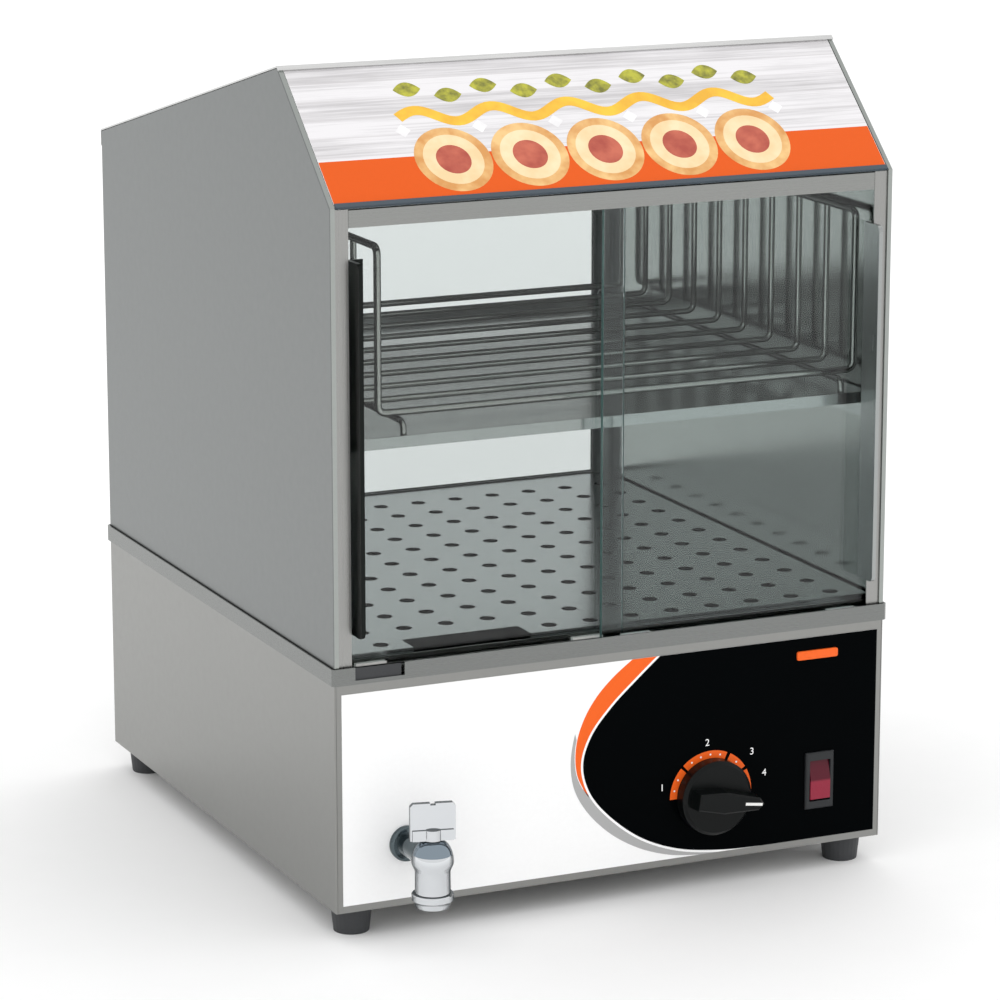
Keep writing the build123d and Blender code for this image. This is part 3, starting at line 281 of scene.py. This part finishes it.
# Painted shade: the tank under the tray is near black, so that the tray's holes read dark.
painted_shade_tank = steel("painted_shade_tank", (0.045, 0.050, 0.050), 0.35, ALONG_X)
hidden_steel = steel("hidden_steel", (0.40, 0.40, 0.39), 0.35, (200, 200, 200))
handle_alloy = steel("handle_alloy", (0.36, 0.375, 0.37), 0.26, (300, 300, 20), 0.02, 0.02, 0.0)
# Painted shade: the left handle's alloy is near black for its face in the post's shadow; the right
# handle keeps the plain alloy.
painted_shade_alloy = steel("painted_shade_alloy", (0.016, 0.018, 0.017), 0.30, (300, 300, 20), 0.02, 0.02, 0.0)
brass = steel("brass", (0.62, 0.46, 0.22), 0.3, (200, 200, 200))
copper = steel("copper", (0.66, 0.36, 0.22), 0.3, (200, 200, 200))
black_plastic = plastic("black_plastic", (0.003, 0.004, 0.004), 0.30, gloss=0.16)
bezel_plastic = plastic("bezel_plastic", (0.020, 0.022, 0.024), 0.42, gloss=0.3)
white_plastic = plastic("white_plastic", (0.82, 0.82, 0.80), 0.4)
rubber = plastic("rubber", (0.035, 0.037, 0.040), 0.6, 900.0, 0.00006)
seal = plastic("seal", (0.30, 0.31, 0.31), 0.6)
trim = plastic("trim", (0.045, 0.065, 0.085), 0.4)
# The rocker's colour paints its light: lit below the ridge, and painted shade above it where the
# pressed-in upper half turns away.
red_lens = painted_shade_above_level("red_lens", (0.27, 0.016, 0.040), (0.085, 0.003, 0.013), (FOOT + 43.0) * MM)
amber_lens = plastic("amber_lens", (0.90, 0.135, 0.018), 0.2, 400.0, 0.00001, 0.04, 0.0, 0.2)
label_white = print_film("label_white", (0.96, 0.96, 0.96))
label_black = print_film("label_black", (0.0010, 0.0015, 0.0018), 0.16, 0.012)
label_orange = print_film("label_orange", (0.90, 0.135, 0.018))
label_grey = print_film("label_grey", (0.42, 0.42, 0.42))
sign_orange = print_film("sign_orange", (0.76, 0.110, 0.013))
clear_glass = pane("clear_glass", (0.795, 0.822, 0.816))
front_glass = pane("front_glass", (0.790, 0.838, 0.836))
glass_darker_below = pane("glass_darker_below", (0.775, 0.802, 0.797), foot=0.89)
glass_edge = plastic("glass_edge", (0.070, 0.150, 0.140), 0.25, 300.0, 0.00001, 0.15, 0.3)

CAD_LOOKS = {
    side_steel: "left_side_panel right_side_panel",
    base_steel: "base_left_panel base_right_panel base_front_panel base_rear_panel "
    "base_bottom_plate",
    post_steel: "left_front_post right_front_post",
    rail_steel: "front_header lower_track upper_track",
    band_steel: "ledge_frame",
    roof_steel_painted_light: "roof_panel",
    inner_steel: "bun_shelf shelf_ledges rear_frame sign_backing",
    painted_shade_tank: "water_tank",
    hidden_steel: "foot_screws element_clamps clamp_studs low_water_sensor thermostat_screws "
    "thermostat_shaft heating_element",
    chrome: "tap_stem tap_handle",
    handle_alloy: "right_door_handle",
    painted_shade_alloy: "left_door_handle",
    brass: "drain_pipe drain_locknut",
    copper: "thermostat_bulb",
    black_plastic: "control_knob cord_gland",
    bezel_plastic: "switch_housing",
    white_plastic: "knob_pointer thermostat_body indicator_lamp terminal_block "
    "left_door_glides right_door_glides",
    rubber: "foot_front_left foot_front_right foot_rear_left foot_rear_right",
    seal: "rear_glass_seal",
    trim: "sign_retainer",
    red_lens: "switch_rocker",
    label_white: "front_label sign_face",
}
for look, names in CAD_LOOKS.items():
    for name in names.split():
        node = NODES[name]
        for slot in node.material_slots:
            slot.material = look
        if not node.material_slots:
            node.data.materials.append(look)


# ---------------------------------------------------------------- geometry
def piece(name, mesh, looks, body, smooth=True):
    """A visible piece that rides on a body."""
    obj = bpy.data.objects.new(name, mesh)
    bpy.context.scene.collection.objects.link(obj)
    for look in looks:
        mesh.materials.append(look)
    if smooth:
        for face in mesh.polygons:
            face.use_smooth = True
        mesh.set_sharp_from_angle(angle=math.radians(35))
    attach(obj, body)
    return obj


def meshed(name, bm):
    """The mesh of a finished bmesh."""
    mesh = bpy.data.meshes.new(name)
    bm.to_mesh(mesh)
    bm.free()
    return mesh


def surface(curve):
    """The mesh of a curve or a text, which goes away."""
    holder = bpy.data.objects.new(curve.name, curve)
    bpy.context.scene.collection.objects.link(holder)
    bpy.context.view_layer.update()
    mesh = bpy.data.meshes.new_from_object(holder)
    bpy.data.objects.remove(holder)
    bpy.data.curves.remove(curve)
    return mesh


def block(bm, low, high, bevel=0.0):
    """A block between two corners, with an optional small bevel."""
    made = bmesh.ops.create_cube(bm, size=1.0)["verts"]
    middle = (low + high) / 2
    for v in made:
        v.co = Vector(v.co[i] * (high[i] - low[i]) + middle[i] for i in range(3))
    if bevel:
        edges = list({e for v in made for e in v.link_edges})
        rounded(bm, edges, bevel, 2)


def rounded(bm, edges, offset, segments):
    bmesh.ops.bevel(
        bm, geom=edges, offset=offset, segments=segments, affect="EDGES", profile=0.5
    )


def flat_shape(outlines, thickness):
    """A plate in XY from closed outlines: the first is its edge and the rest are cut out of it."""
    curve = bpy.data.curves.new("outline", "CURVE")
    curve.dimensions = "2D"
    curve.fill_mode = "BOTH"
    curve.extrude = thickness / 2
    for outline in outlines:
        spline = curve.splines.new("POLY")
        spline.points.add(len(outline) - 1)
        for point, (x, y) in zip(spline.points, outline):
            point.co = (x, y, 0, 1)
        spline.use_cyclic_u = True
    mesh = surface(curve)
    bm = bmesh.new()
    bm.from_mesh(mesh)
    bmesh.ops.remove_doubles(bm, verts=bm.verts, dist=1e-6)
    bmesh.ops.recalc_face_normals(bm, faces=bm.faces)
    bm.to_mesh(mesh)
    bm.free()
    return mesh


FULL_TURN = 2 * math.pi


def ring(cx, cy, radius, count, start=0.0, turn=FULL_TURN):
    """Points of a circle, or of an arc with both its ends."""
    steps = count if turn == FULL_TURN else count + 1
    angles = [start + turn * n / count for n in range(steps)]
    return [(cx + radius * math.cos(a), cy + radius * math.sin(a)) for a in angles]


def bent(points, radius, steps=8):
    """Points of a wire along straight runs, with an arc at each corner."""
    route = [Vector(points[0])]
    for before, corner, after in zip(points, points[1:], points[2:]):
        corner = Vector(corner)
        back = (Vector(before) - corner).normalized()
        ahead = (Vector(after) - corner).normalized()
        half_angle = back.angle(ahead) / 2
        reach = radius / math.tan(half_angle)
        centre = corner + (back + ahead).normalized() * (radius / math.sin(half_angle))
        first = (corner + back * reach - centre).normalized()
        last = (corner + ahead * reach - centre).normalized()
        for n in range(steps + 1):
            route.append(centre + radius * first.slerp(last, n / steps))
    route.append(Vector(points[-1]))
    return route


def wires(name, runs, look, body):
    """Round wires as one mesh: runs of (points, wire's radius, bend's radius)."""
    bm = bmesh.new()
    for points, radius, bend in runs:
        curve = bpy.data.curves.new("wire", "CURVE")
        curve.dimensions = "3D"
        curve.bevel_depth = radius
        curve.bevel_resolution = 4
        curve.use_fill_caps = True
        spline = curve.splines.new("POLY")
        route = bent(points, bend)
        spline.points.add(len(route) - 1)
        for point, place in zip(spline.points, route):
            point.co = (*place, 1)
        mesh = surface(curve)
        bm.from_mesh(mesh)
        bpy.data.meshes.remove(mesh)
    return piece(name, meshed(name, bm), [look], body)


# ---------------------------------------------------------------- bun rack
rows = [33.0 + 36.55 * n for n in range(10)]
middle_row = (rows[0] + rows[-1]) / 2
left, right, low, top = 43.0, 367.5, 299.0, 400.0
end_wire, wire, bend = 2.3 * MM, 2.0 * MM, 5 * MM  # radii
skid_in, skid_out = 13.0, 8.0  # the skids' places within the sides and past the end rows
skid_low, skid_high = 281.2, 294.6
runs = []
for y in (rows[0], rows[-1]):
    runs.append((
        [at(left, middle_row, top), at(left, y, top), at(left, y, low),
         at(right, y, low), at(right, y, top), at(right, middle_row, top)],
        end_wire, bend,
    ))
for y in rows[1:-1]:
    runs.append((
        [at(left, y, top), at(left, y, low), at(right, y, low), at(right, y, top)],
        wire, bend,
    ))
for x in (left + skid_in, right - skid_in):
    near, far = rows[0] - skid_out, rows[-1] + skid_out
    runs.append((
        [at(x, near, skid_low), at(x, near, skid_high),
         at(x, far, skid_high), at(x, far, skid_low)],
        wire, bend,
    ))
rack_wires = wires("rack_wires", runs, wire_steel, "rack")
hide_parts("bun_rack")

# ---------------------------------------------------------------- floor tray
tray_low, tray_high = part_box("perforated_tray")
(x0, y0, lip_low), (x1, y1, tray_top) = tray_low, tray_high
notch_left, notch_right, hole_margin = 58.0, 136.0, 6
n0, n1, n2 = at(notch_left, 0, 0).x, at(notch_right, 0, 0).x, at(0, 34.5, 0).y
cuts = []
for column in range(13):
    for row in range(12):
        x, y = 13.9 + 28.15 * column, 28.9 + 30.2 * row
        if row == 0 and notch_left - hole_margin < x < notch_right + hole_margin:
            continue
        place = at(x, y, 0)
        cuts.append(ring(place.x, place.y, 5 * MM, 28))
outline = [(x0, y0), (n0, y0), (n0, n2), (n1, n2), (n1, y0), (x1, y0), (x1, y1), (x0, y1)]
sheet = MM  # the tray's thickness
plate = flat_shape([outline] + cuts, sheet)
for v in plate.vertices:
    v.co.z += tray_top - sheet / 2
bm = bmesh.new()
bm.from_mesh(plate)
for left, right, front, back in (
    (x0, n0, y0, y0 + sheet), (n1, x1, y0, y0 + sheet),
    (x0, x0 + sheet, y0 + sheet, y1 - sheet), (x1 - sheet, x1, y0 + sheet, y1 - sheet),
    (x0, x1, y1 - sheet, y1),
    (n0 - sheet, n0, y0 + sheet, n2), (n1, n1 + sheet, y0 + sheet, n2),
    (n0 - sheet, n1 + sheet, n2, n2 + sheet),
):
    block(bm, Vector((left, front, lip_low)), Vector((right, back, tray_top - sheet)))
bm.to_mesh(plate)
bm.free()
tray_sheet = piece("tray_sheet", plate, [tray_steel], "floor_tray")
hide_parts("perforated_tray")

# ---------------------------------------------------------------- panes
for node, body, look in (
    ("left_door_glass", "left_door", clear_glass),
    ("right_door_glass", "right_door", front_glass),
    ("rear_glass", "cabinet", glass_darker_below),
):
    name = node + "_pane"
    bm = bmesh.new()
    block(bm, *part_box(node), 0.35 * MM)
    for face in bm.faces:
        if abs(face.normal.y) < 0.9:
            face.material_index = 1
    made = piece(name, meshed(name, bm), [look, glass_edge], body, smooth=False)
    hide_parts(node)

# ---------------------------------------------------------------- tap, collar and lens
def lathe(bm, origin, along, profile, slot=0, steps=72):
    """A turned ring of material: a closed profile of (radius, distance along the axis), in mm."""
    side = Vector((1, 0, 0))
    up = along.cross(side)
    angles = [FULL_TURN * n / steps for n in range(steps)]
    rings = []
    for radius, reach in profile:
        centre = origin + along * reach * MM
        rings.append([
            bm.verts.new(centre + (side * math.cos(a) + up * math.sin(a)) * radius * MM)
            for a in angles
        ])
    for first, second in zip(rings, rings[1:] + rings[:1]):
        for n in range(steps):
            m = (n + 1) % steps
            bm.faces.new((first[n], first[m], second[m], second[n])).material_index = slot


def turned_piece(name, parts, looks, node):
    """Turned rings as one piece of the cabinet, in the place of a CAD node."""
    bm = bmesh.new()
    for part in parts:
        lathe(bm, *part)
    bmesh.ops.recalc_face_normals(bm, faces=bm.faces)
    made = piece(name, meshed(name, bm), looks, "cabinet")
    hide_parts(node)
    return made


UP, OUT = Vector((0, 0, 1)), Vector((0, -1, 0))
TAP_X, TAP_Z = 46.0, 39.4
SPOUT = at(TAP_X, -40.0, TAP_Z)
dome_angles = [math.radians(7.5 * n) for n in range(13)]
dome = [(4.6 + 8.2 * math.cos(a), 13.5 * math.sin(a)) for a in dome_angles]
barrel = [(10.2, -19.4), (10.8, -18.8), (10.8, -6.0), (11.1, -4.6), (12.0, -2.6), (12.6, -1.2)]
bore = [(3.26, 13.5), (3.26, 6.5), (6.06, 6.5), (6.06, -6.5), (4.6, -6.5), (4.6, -19.4)]
inlet_profile = [(7.0, 0), (7.0, 26.2), (5.58, 26.2), (5.58, 0)]
# The inlet (slot 1) and the flange take chrome with a painted dark reflection.
tap_shell = turned_piece(
    "tap_shell",
    [(SPOUT, UP, barrel + dome + bore), (at(TAP_X, -4.0, TAP_Z), OUT, inlet_profile, 1)],
    [chrome, painted_dark_reflection_chrome, painted_grey_reflection_chrome], "tap_body",
)
for face in tap_shell.data.polygons:
    if face.material_index == 0 and face.center.z > SPOUT.z + 5.5 * MM:
        face.material_index = 2  # painted reflection: the dome's top takes a darker chrome colour
mouth_profile = [
    (12.3, -19.4), (12.8, -19.9), (12.8, -23.2), (12.4, -23.7), (11.6, -24.3), (11.1, -25.4),
    (10.6, -27.3), (10.2, -27.9), (7.6, -27.9), (7.0, -27.3), (7.0, -19.4),
]
turned_piece("tap_mouth", [(SPOUT, UP, mouth_profile)], [chrome], "tap_nozzle")
flange_profile = [
    (5.56, 0), (11.2, 0), (11.2, 2.0), (10.9, 2.8), (10.2, 3.4), (9.4, 3.6), (5.56, 3.6),
]
turned_piece(
    "tap_flange", [(at(TAP_X, LABEL_Y, TAP_Z), OUT, flange_profile)], [painted_dark_reflection_chrome], "drain_collar"
)

lens_low, lens_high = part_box("indicator_lens")
lens_low.z, lens_high.z = at(0, 0, 122.9).z, at(0, 0, 128.6).z
bm = bmesh.new()
block(bm, lens_low, lens_high)
corners = [e for e in bm.edges if abs((e.verts[0].co - e.verts[1].co).normalized().y) > 0.9]
rounded(bm, corners, 1.3 * MM, 4)
rim = [e for e in bm.edges if all(abs(v.co.y - lens_low.y) < 1e-6 for v in e.verts)]
rounded(bm, rim, 0.4 * MM, 2)
water_lens = piece("water_lens", meshed("water_lens", bm), [amber_lens], "cabinet")
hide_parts("indicator_lens")

# ---------------------------------------------------------------- front label's print
LAYER = 0.06  # thickness of a printed layer


def label_print(name, mesh, look, layer, x=0.0, z=0.0):
    """A thin mesh stood up on the label, from a place across and up from the casing's corner."""
    depth = (FRONT + LABEL_Y - LAYER * (layer - 0.5)) * MM
    for v in mesh.vertices:
        v.co = Vector((v.co.x + (x - HALF) * MM, depth - v.co.z, v.co.y + (z + FOOT) * MM))
    piece(name, mesh, [look], "cabinet", smooth=False)


def on_front(name, outlines, look, layer):
    """A thin printed shape on the label, drawn in mm across and up from the casing's corner."""
    mesh = flat_shape([[(x * MM, z * MM) for x, z in line] for line in outlines], LAYER * MM)
    label_print(name, mesh, look, layer)


LABEL_LEFT, LABEL_LOW, LABEL_HIGH, LABEL_RIGHT = 4.5, 4.5, 137.0, 370.5
WHITE_LINE = 1.5  # between the black field and its coloured borders


def flowing(points, steps=10):
    """A smooth line through a few points."""
    ends = [points[0]] + list(points) + [points[-1]]
    line = []
    for four in zip(ends, ends[1:], ends[2:], ends[3:]):
        for n in range(steps):
            t = n / steps
            line.append(tuple(
                0.5 * (2 * b + (c - a) * t + (2 * a - 5 * b + 4 * c - d) * t**2
                       + (3 * b - a - 3 * c + d) * t**3)
                for a, b, c, d in zip(*four)
            ))
    line.append(tuple(points[-1]))
    return line


def beside(line, distance):
    """The line moved to its right-hand side by a distance."""
    moved = []
    for n, (x, z) in enumerate(line):
        before, after = line[max(n - 1, 0)], line[min(n + 1, len(line) - 1)]
        dx, dz = after[0] - before[0], after[1] - before[1]
        length = math.hypot(dx, dz)
        moved.append((x + dz / length * distance, z - dx / length * distance))
    return moved


def inside_label(line):
    """The line, held within the label's edges."""
    return [
        (min(max(x, LABEL_LEFT), LABEL_RIGHT), min(max(z, LABEL_LOW), LABEL_HIGH))
        for x, z in line
    ]


field_edge = flowing([
    (217.0, 137.0), (201.0, 123.5), (184.5, 108.6), (170.5, 91.5), (164.6, 73.0), (169.8, 54.0),
    (184.5, 36.5), (206.0, 20.5), (232.0, 10.2), (262.0, 5.6), (290.0, 4.5),
])
field_corners = [(LABEL_RIGHT, LABEL_LOW), (LABEL_RIGHT, LABEL_HIGH)]
on_front("print_field", [field_edge + field_corners], label_black, 1)
border = inside_label(beside(field_edge, WHITE_LINE))
orange_edge = flowing([
    (198.0, 137.0), (185.6, 127.8), (174.8, 117.3), (166.6, 105.5), (161.2, 92.5), (159.3, 80.0),
    (160.4, 68.0), (164.4, 58.5), (168.5, 52.0),
])
orange_inner = [p for p in border if p[1] > 52.5]
on_front("print_crescent", [orange_edge + orange_inner[::-1]], label_orange, 1)
grey_outer = inside_label(flowing([
    (159.0, 94.0), (156.6, 82.0), (156.3, 70.0), (158.9, 57.5), (165.4, 45.5), (175.2, 34.0),
    (188.5, 23.0), (206.0, 13.4), (226.0, 7.0), (246.0, 4.5),
]))
grey_inner = [(x - 0.5, z) for x, z in orange_edge if 58.0 < z < 91.0]
grey_inner += [p for p in border if p[1] < 54.0 and p[0] < 262.0]
on_front("print_shade", [grey_outer + grey_inner[::-1]], label_grey, 1)

DIAL = (253.3, 43.0)
DIAL_OUTER, DIAL_INNER, DIAL_DOTS = 28.6, 23.6, 26.1  # radii
for n, band in enumerate(((180, 137), (133, 66.5), (61.5, 33), (28.5, 0))):
    first, last = (math.radians(angle) for angle in band)
    outer = ring(*DIAL, DIAL_OUTER, 20, first, last - first)
    inner = ring(*DIAL, DIAL_INNER, 20, last, first - last)
    on_front(f"dial_band_{n}", [outer + inner], label_orange, 2)
for n, angle in enumerate((168, 152, 121, 106, 91, 76, 47, 15)):
    angle = math.radians(angle)
    spot = (DIAL[0] + DIAL_DOTS * math.cos(angle), DIAL[1] + DIAL_DOTS * math.sin(angle))
    on_front(f"dial_dot_{n}", [ring(*spot, 0.65, 10)], label_white, 3)
FIGURES = (("1", 217.6, 49.5), ("2", 249.0, 75.0), ("3", 280.5, 65.5), ("4", 289.5, 50.5))
for figure, x, z in FIGURES:
    text = bpy.data.curves.new("figure", "FONT")
    text.body = figure
    text.size = 6.4 * MM
    text.extrude = LAYER * MM / 2
    label_print(f"dial_figure_{figure}", surface(text), label_white, 2, x, z)

# ---------------------------------------------------------------- sign's print
SLOPE = math.atan2(PEAK[1] - SIGN_FOOT, PEAK[0] - FRONT)
FACE_DEPTH = -0.2  # the sign's face, from the slope's line


def on_sign(name, outlines, look, layer):
    """A thin printed shape on the sloping sign, drawn in mm across and up its slope."""
    mesh = flat_shape([[(x * MM, s * MM) for x, s in line] for line in outlines], LAYER * MM)
    for v in mesh.vertices:
        depth = (FACE_DEPTH + LAYER * (layer - 0.5)) * MM + v.co.z
        along = v.co.y
        v.co = Vector((
            v.co.x - HALF * MM,
            FRONT * MM + along * math.cos(SLOPE) - depth * math.sin(SLOPE),
            SIGN_FOOT * MM + along * math.sin(SLOPE) + depth * math.cos(SLOPE),
        ))
    piece(name, mesh, [look], "cabinet", smooth=False)


def boards(name):
    """Whitewashed boards: streaks along X, and a tone and a fine joint for each board."""
    m = Nodes(name)
    count = m.maths("MULTIPLY_ADD", m.along("Y"), 95.0, 30.0)
    tone = m.add("ShaderNodeTexWhiteNoise", noise_dimensions="1D")
    m.link(m.maths("FLOOR", count), tone.inputs["W"])
    joint = m.spread(m.maths("FRACT", count), 0.0, 1.0, 0.0, 0.10)
    streaks = m.noise((9, 620, 620), 6.0, 0.7)
    blotch = m.noise((11, 60, 60), 3.0)
    total = m.maths("MULTIPLY_ADD", tone.outputs["Value"], 0.16, streaks)
    total = m.maths("MULTIPLY_ADD", blotch, 0.55, total)
    wash = m.tones(total, (0.52, 0.505, 0.515), (0.79, 0.775, 0.79), 0.62, 0.95)
    m.link(m.mix(joint, (0.62, 0.60, 0.61, 1), wash), m.bsdf.inputs["Base Color"])
    m.link(m.spread(streaks, 0.35, 0.5), m.bsdf.inputs["Roughness"])
    m.bump(streaks, 0.05, 0.00004)
    return m.material


def mottled(name, dark, light, scale=70.0):
    """A printed area with soft light and dark patches."""
    m = Nodes(name)
    patches = m.noise((scale, scale, scale), 3.0)
    m.link(m.tones(patches, dark, light, 0.35, 0.65), m.bsdf.inputs["Base Color"])
    m.link(m.spread(patches, 0.3, 0.4), m.bsdf.inputs["Roughness"])
    return m.material


gold = mottled("print_gold", (0.66, 0.30, 0.075), (0.86, 0.55, 0.22))
cream = mottled("print_cream", (0.84, 0.62, 0.33), (0.92, 0.74, 0.46))
russet = mottled("print_russet", (0.40, 0.055, 0.03), (0.58, 0.13, 0.07))
yellow = mottled("print_yellow", (0.80, 0.42, 0.02), (0.90, 0.56, 0.03))
leaf = mottled("print_leaf", (0.16, 0.16, 0.015), (0.48, 0.47, 0.03), 160.0)
white_print = mottled("print_white", (0.80, 0.79, 0.80), (0.92, 0.91, 0.92))


def strip(low, high):
    """A strip across the sign, between two distances up its slope."""
    left, right = 3.9, WIDTH - 3.9
    return [[(left, low), (right, low), (right, high), (left, high)]]


BAND_TOP = 35.3
on_sign("print_boards", strip(BAND_TOP, 107.8), boards("white_boards"), 1)
on_sign("print_band", strip(3.6, BAND_TOP), sign_orange, 1)

# a frieze of discs, with a wave and a row of leaves over it
DISC_PITCH, DISC_ROW, DISCS, FRIEZE_X = 50.0, 31.0, 5, 189.0
for n in range(DISCS):
    x = FRIEZE_X + (n - (DISCS - 1) / 2) * DISC_PITCH
    on_sign(f"disc_rim_{n}", [ring(x, DISC_ROW, 24.5, 48)], gold, 2)
    on_sign(f"disc_face_{n}", [ring(x, DISC_ROW, 19.0, 48)], cream, 2.5)
    on_sign(f"disc_heart_{n}", [ring(x, DISC_ROW, 11.0, 40)], russet, 3)
reaches = [2.5 * n for n in range(101)]
wave = [(64 + reach, 65.0 + 5.0 * math.sin(FULL_TURN * reach / DISC_PITCH)) for reach in reaches]
on_sign("print_wave", [beside(wave, -3.6) + beside(wave, 3.6)[::-1]], yellow, 2)
for n in range(10):
    x = 76.5 + 25.0 * n
    rise = 80.5 if n % 2 else 86.5
    upper = [(x + 9.0 * t, rise + 5.6 * (1 - t * t)) for t in [k / 8 - 1 for k in range(17)]]
    lower = [(x + 9.0 * t, rise - 5.6 * (1 - t * t)) for t in [1 - k / 8 for k in range(1, 16)]]
    on_sign(f"print_leaf_{n}", [upper + lower], leaf, 2)
for n in range(DISCS + 1):
    x = FRIEZE_X + (n - DISCS / 2) * DISC_PITCH
    on_sign(f"print_diamond_{n}", [[(x - 5, 55), (x, 50), (x + 5, 55), (x, 60)]], white_print, 2)

# ---------------------------------------------------------------- the band's notch
# Painted shade: the notch is dark inside, so a dark plate in the rubber's colour closes it from
# behind.
bm = bmesh.new()
block(bm, Vector((-176.1, -176.1, 162.5)) * MM, Vector((-144.3, -175.6, 170.4)) * MM)
piece("notch_painted_shade", meshed("notch_painted_shade", bm), [rubber], "cabinet", smooth=False)


# ---------------------------------------------------------------- room, light and camera
def matte(name, color):
    """Paper without any shine."""
    m = Nodes(name)
    grain = m.noise((30, 30, 30), 2.0)
    m.link(m.tones(grain, shade(color, 0.99), color), m.bsdf.inputs["Base Color"])
    m.set(Roughness=0.9, Specular_IOR_Level=0.0)
    return m.material


FLOOR = 6.0  # half its width, in metres
floor_mesh = bpy.data.meshes.new("floor")
floor_corners = [(-FLOOR, -FLOOR, 0), (FLOOR, -FLOOR, 0), (FLOOR, FLOOR, 0), (-FLOOR, FLOOR, 0)]
floor_mesh.from_pydata(floor_corners, [], [(0, 1, 2, 3)])
floor_mesh.materials.append(matte("floor_paper", (0.97, 0.97, 0.97)))
floor = bpy.data.objects.new("floor", floor_mesh)
bpy.context.scene.collection.objects.link(floor)

# White all round, seen and mirrored at 1.0 and a little stronger where it only lights.
world = bpy.data.worlds.new("studio")
bpy.context.scene.world = world
world.use_nodes = True
tree = world.node_tree
backdrop = tree.nodes["Background"]
backdrop.inputs["Color"].default_value = (1, 1, 1, 1)
paths = tree.nodes.new("ShaderNodeLightPath")
seen = tree.nodes.new("ShaderNodeMath")
seen.operation = "MAXIMUM"
tree.links.new(paths.outputs["Is Camera Ray"], seen.inputs[0])
tree.links.new(paths.outputs["Is Glossy Ray"], seen.inputs[1])
either = tree.nodes.new("ShaderNodeMath")
either.operation = "MAXIMUM"
tree.links.new(seen.outputs[0], either.inputs[0])
tree.links.new(paths.outputs["Is Transmission Ray"], either.inputs[1])
strength = tree.nodes.new("ShaderNodeMapRange")
strength.inputs["To Min"].default_value = 1.17
strength.inputs["To Max"].default_value = 1.0
tree.links.new(either.outputs[0], strength.inputs["Value"])
tree.links.new(strength.outputs["Result"], backdrop.inputs["Strength"])


light = bpy.data.lights.new("overhead", "AREA")
light.shape = "RECTANGLE"
light.size, light.size_y = 1.6, 1.2
light.energy = 5
lamp = bpy.data.objects.new("overhead", light)
lamp.location = (0.9, 0.9, 2.4)
aim = Vector((0, 0, 0.2)) - lamp.location
lamp.rotation_euler = aim.to_track_quat("-Z", "Y").to_euler()
bpy.context.scene.collection.objects.link(lamp)

camera = bpy.data.cameras.new("camera")
camera.sensor_width = 36
camera.lens = 146.7
camera.clip_end = 50
eye = bpy.data.objects.new("camera", camera)
eye.location = (-1.06919, -2.34026, 0.82674)
eye.rotation_euler = (math.radians(76.70), 0, math.radians(-24.58))
bpy.context.scene.collection.objects.link(eye)
bpy.context.scene.camera = eye
bpy.context.scene.view_settings.view_transform = "Standard"
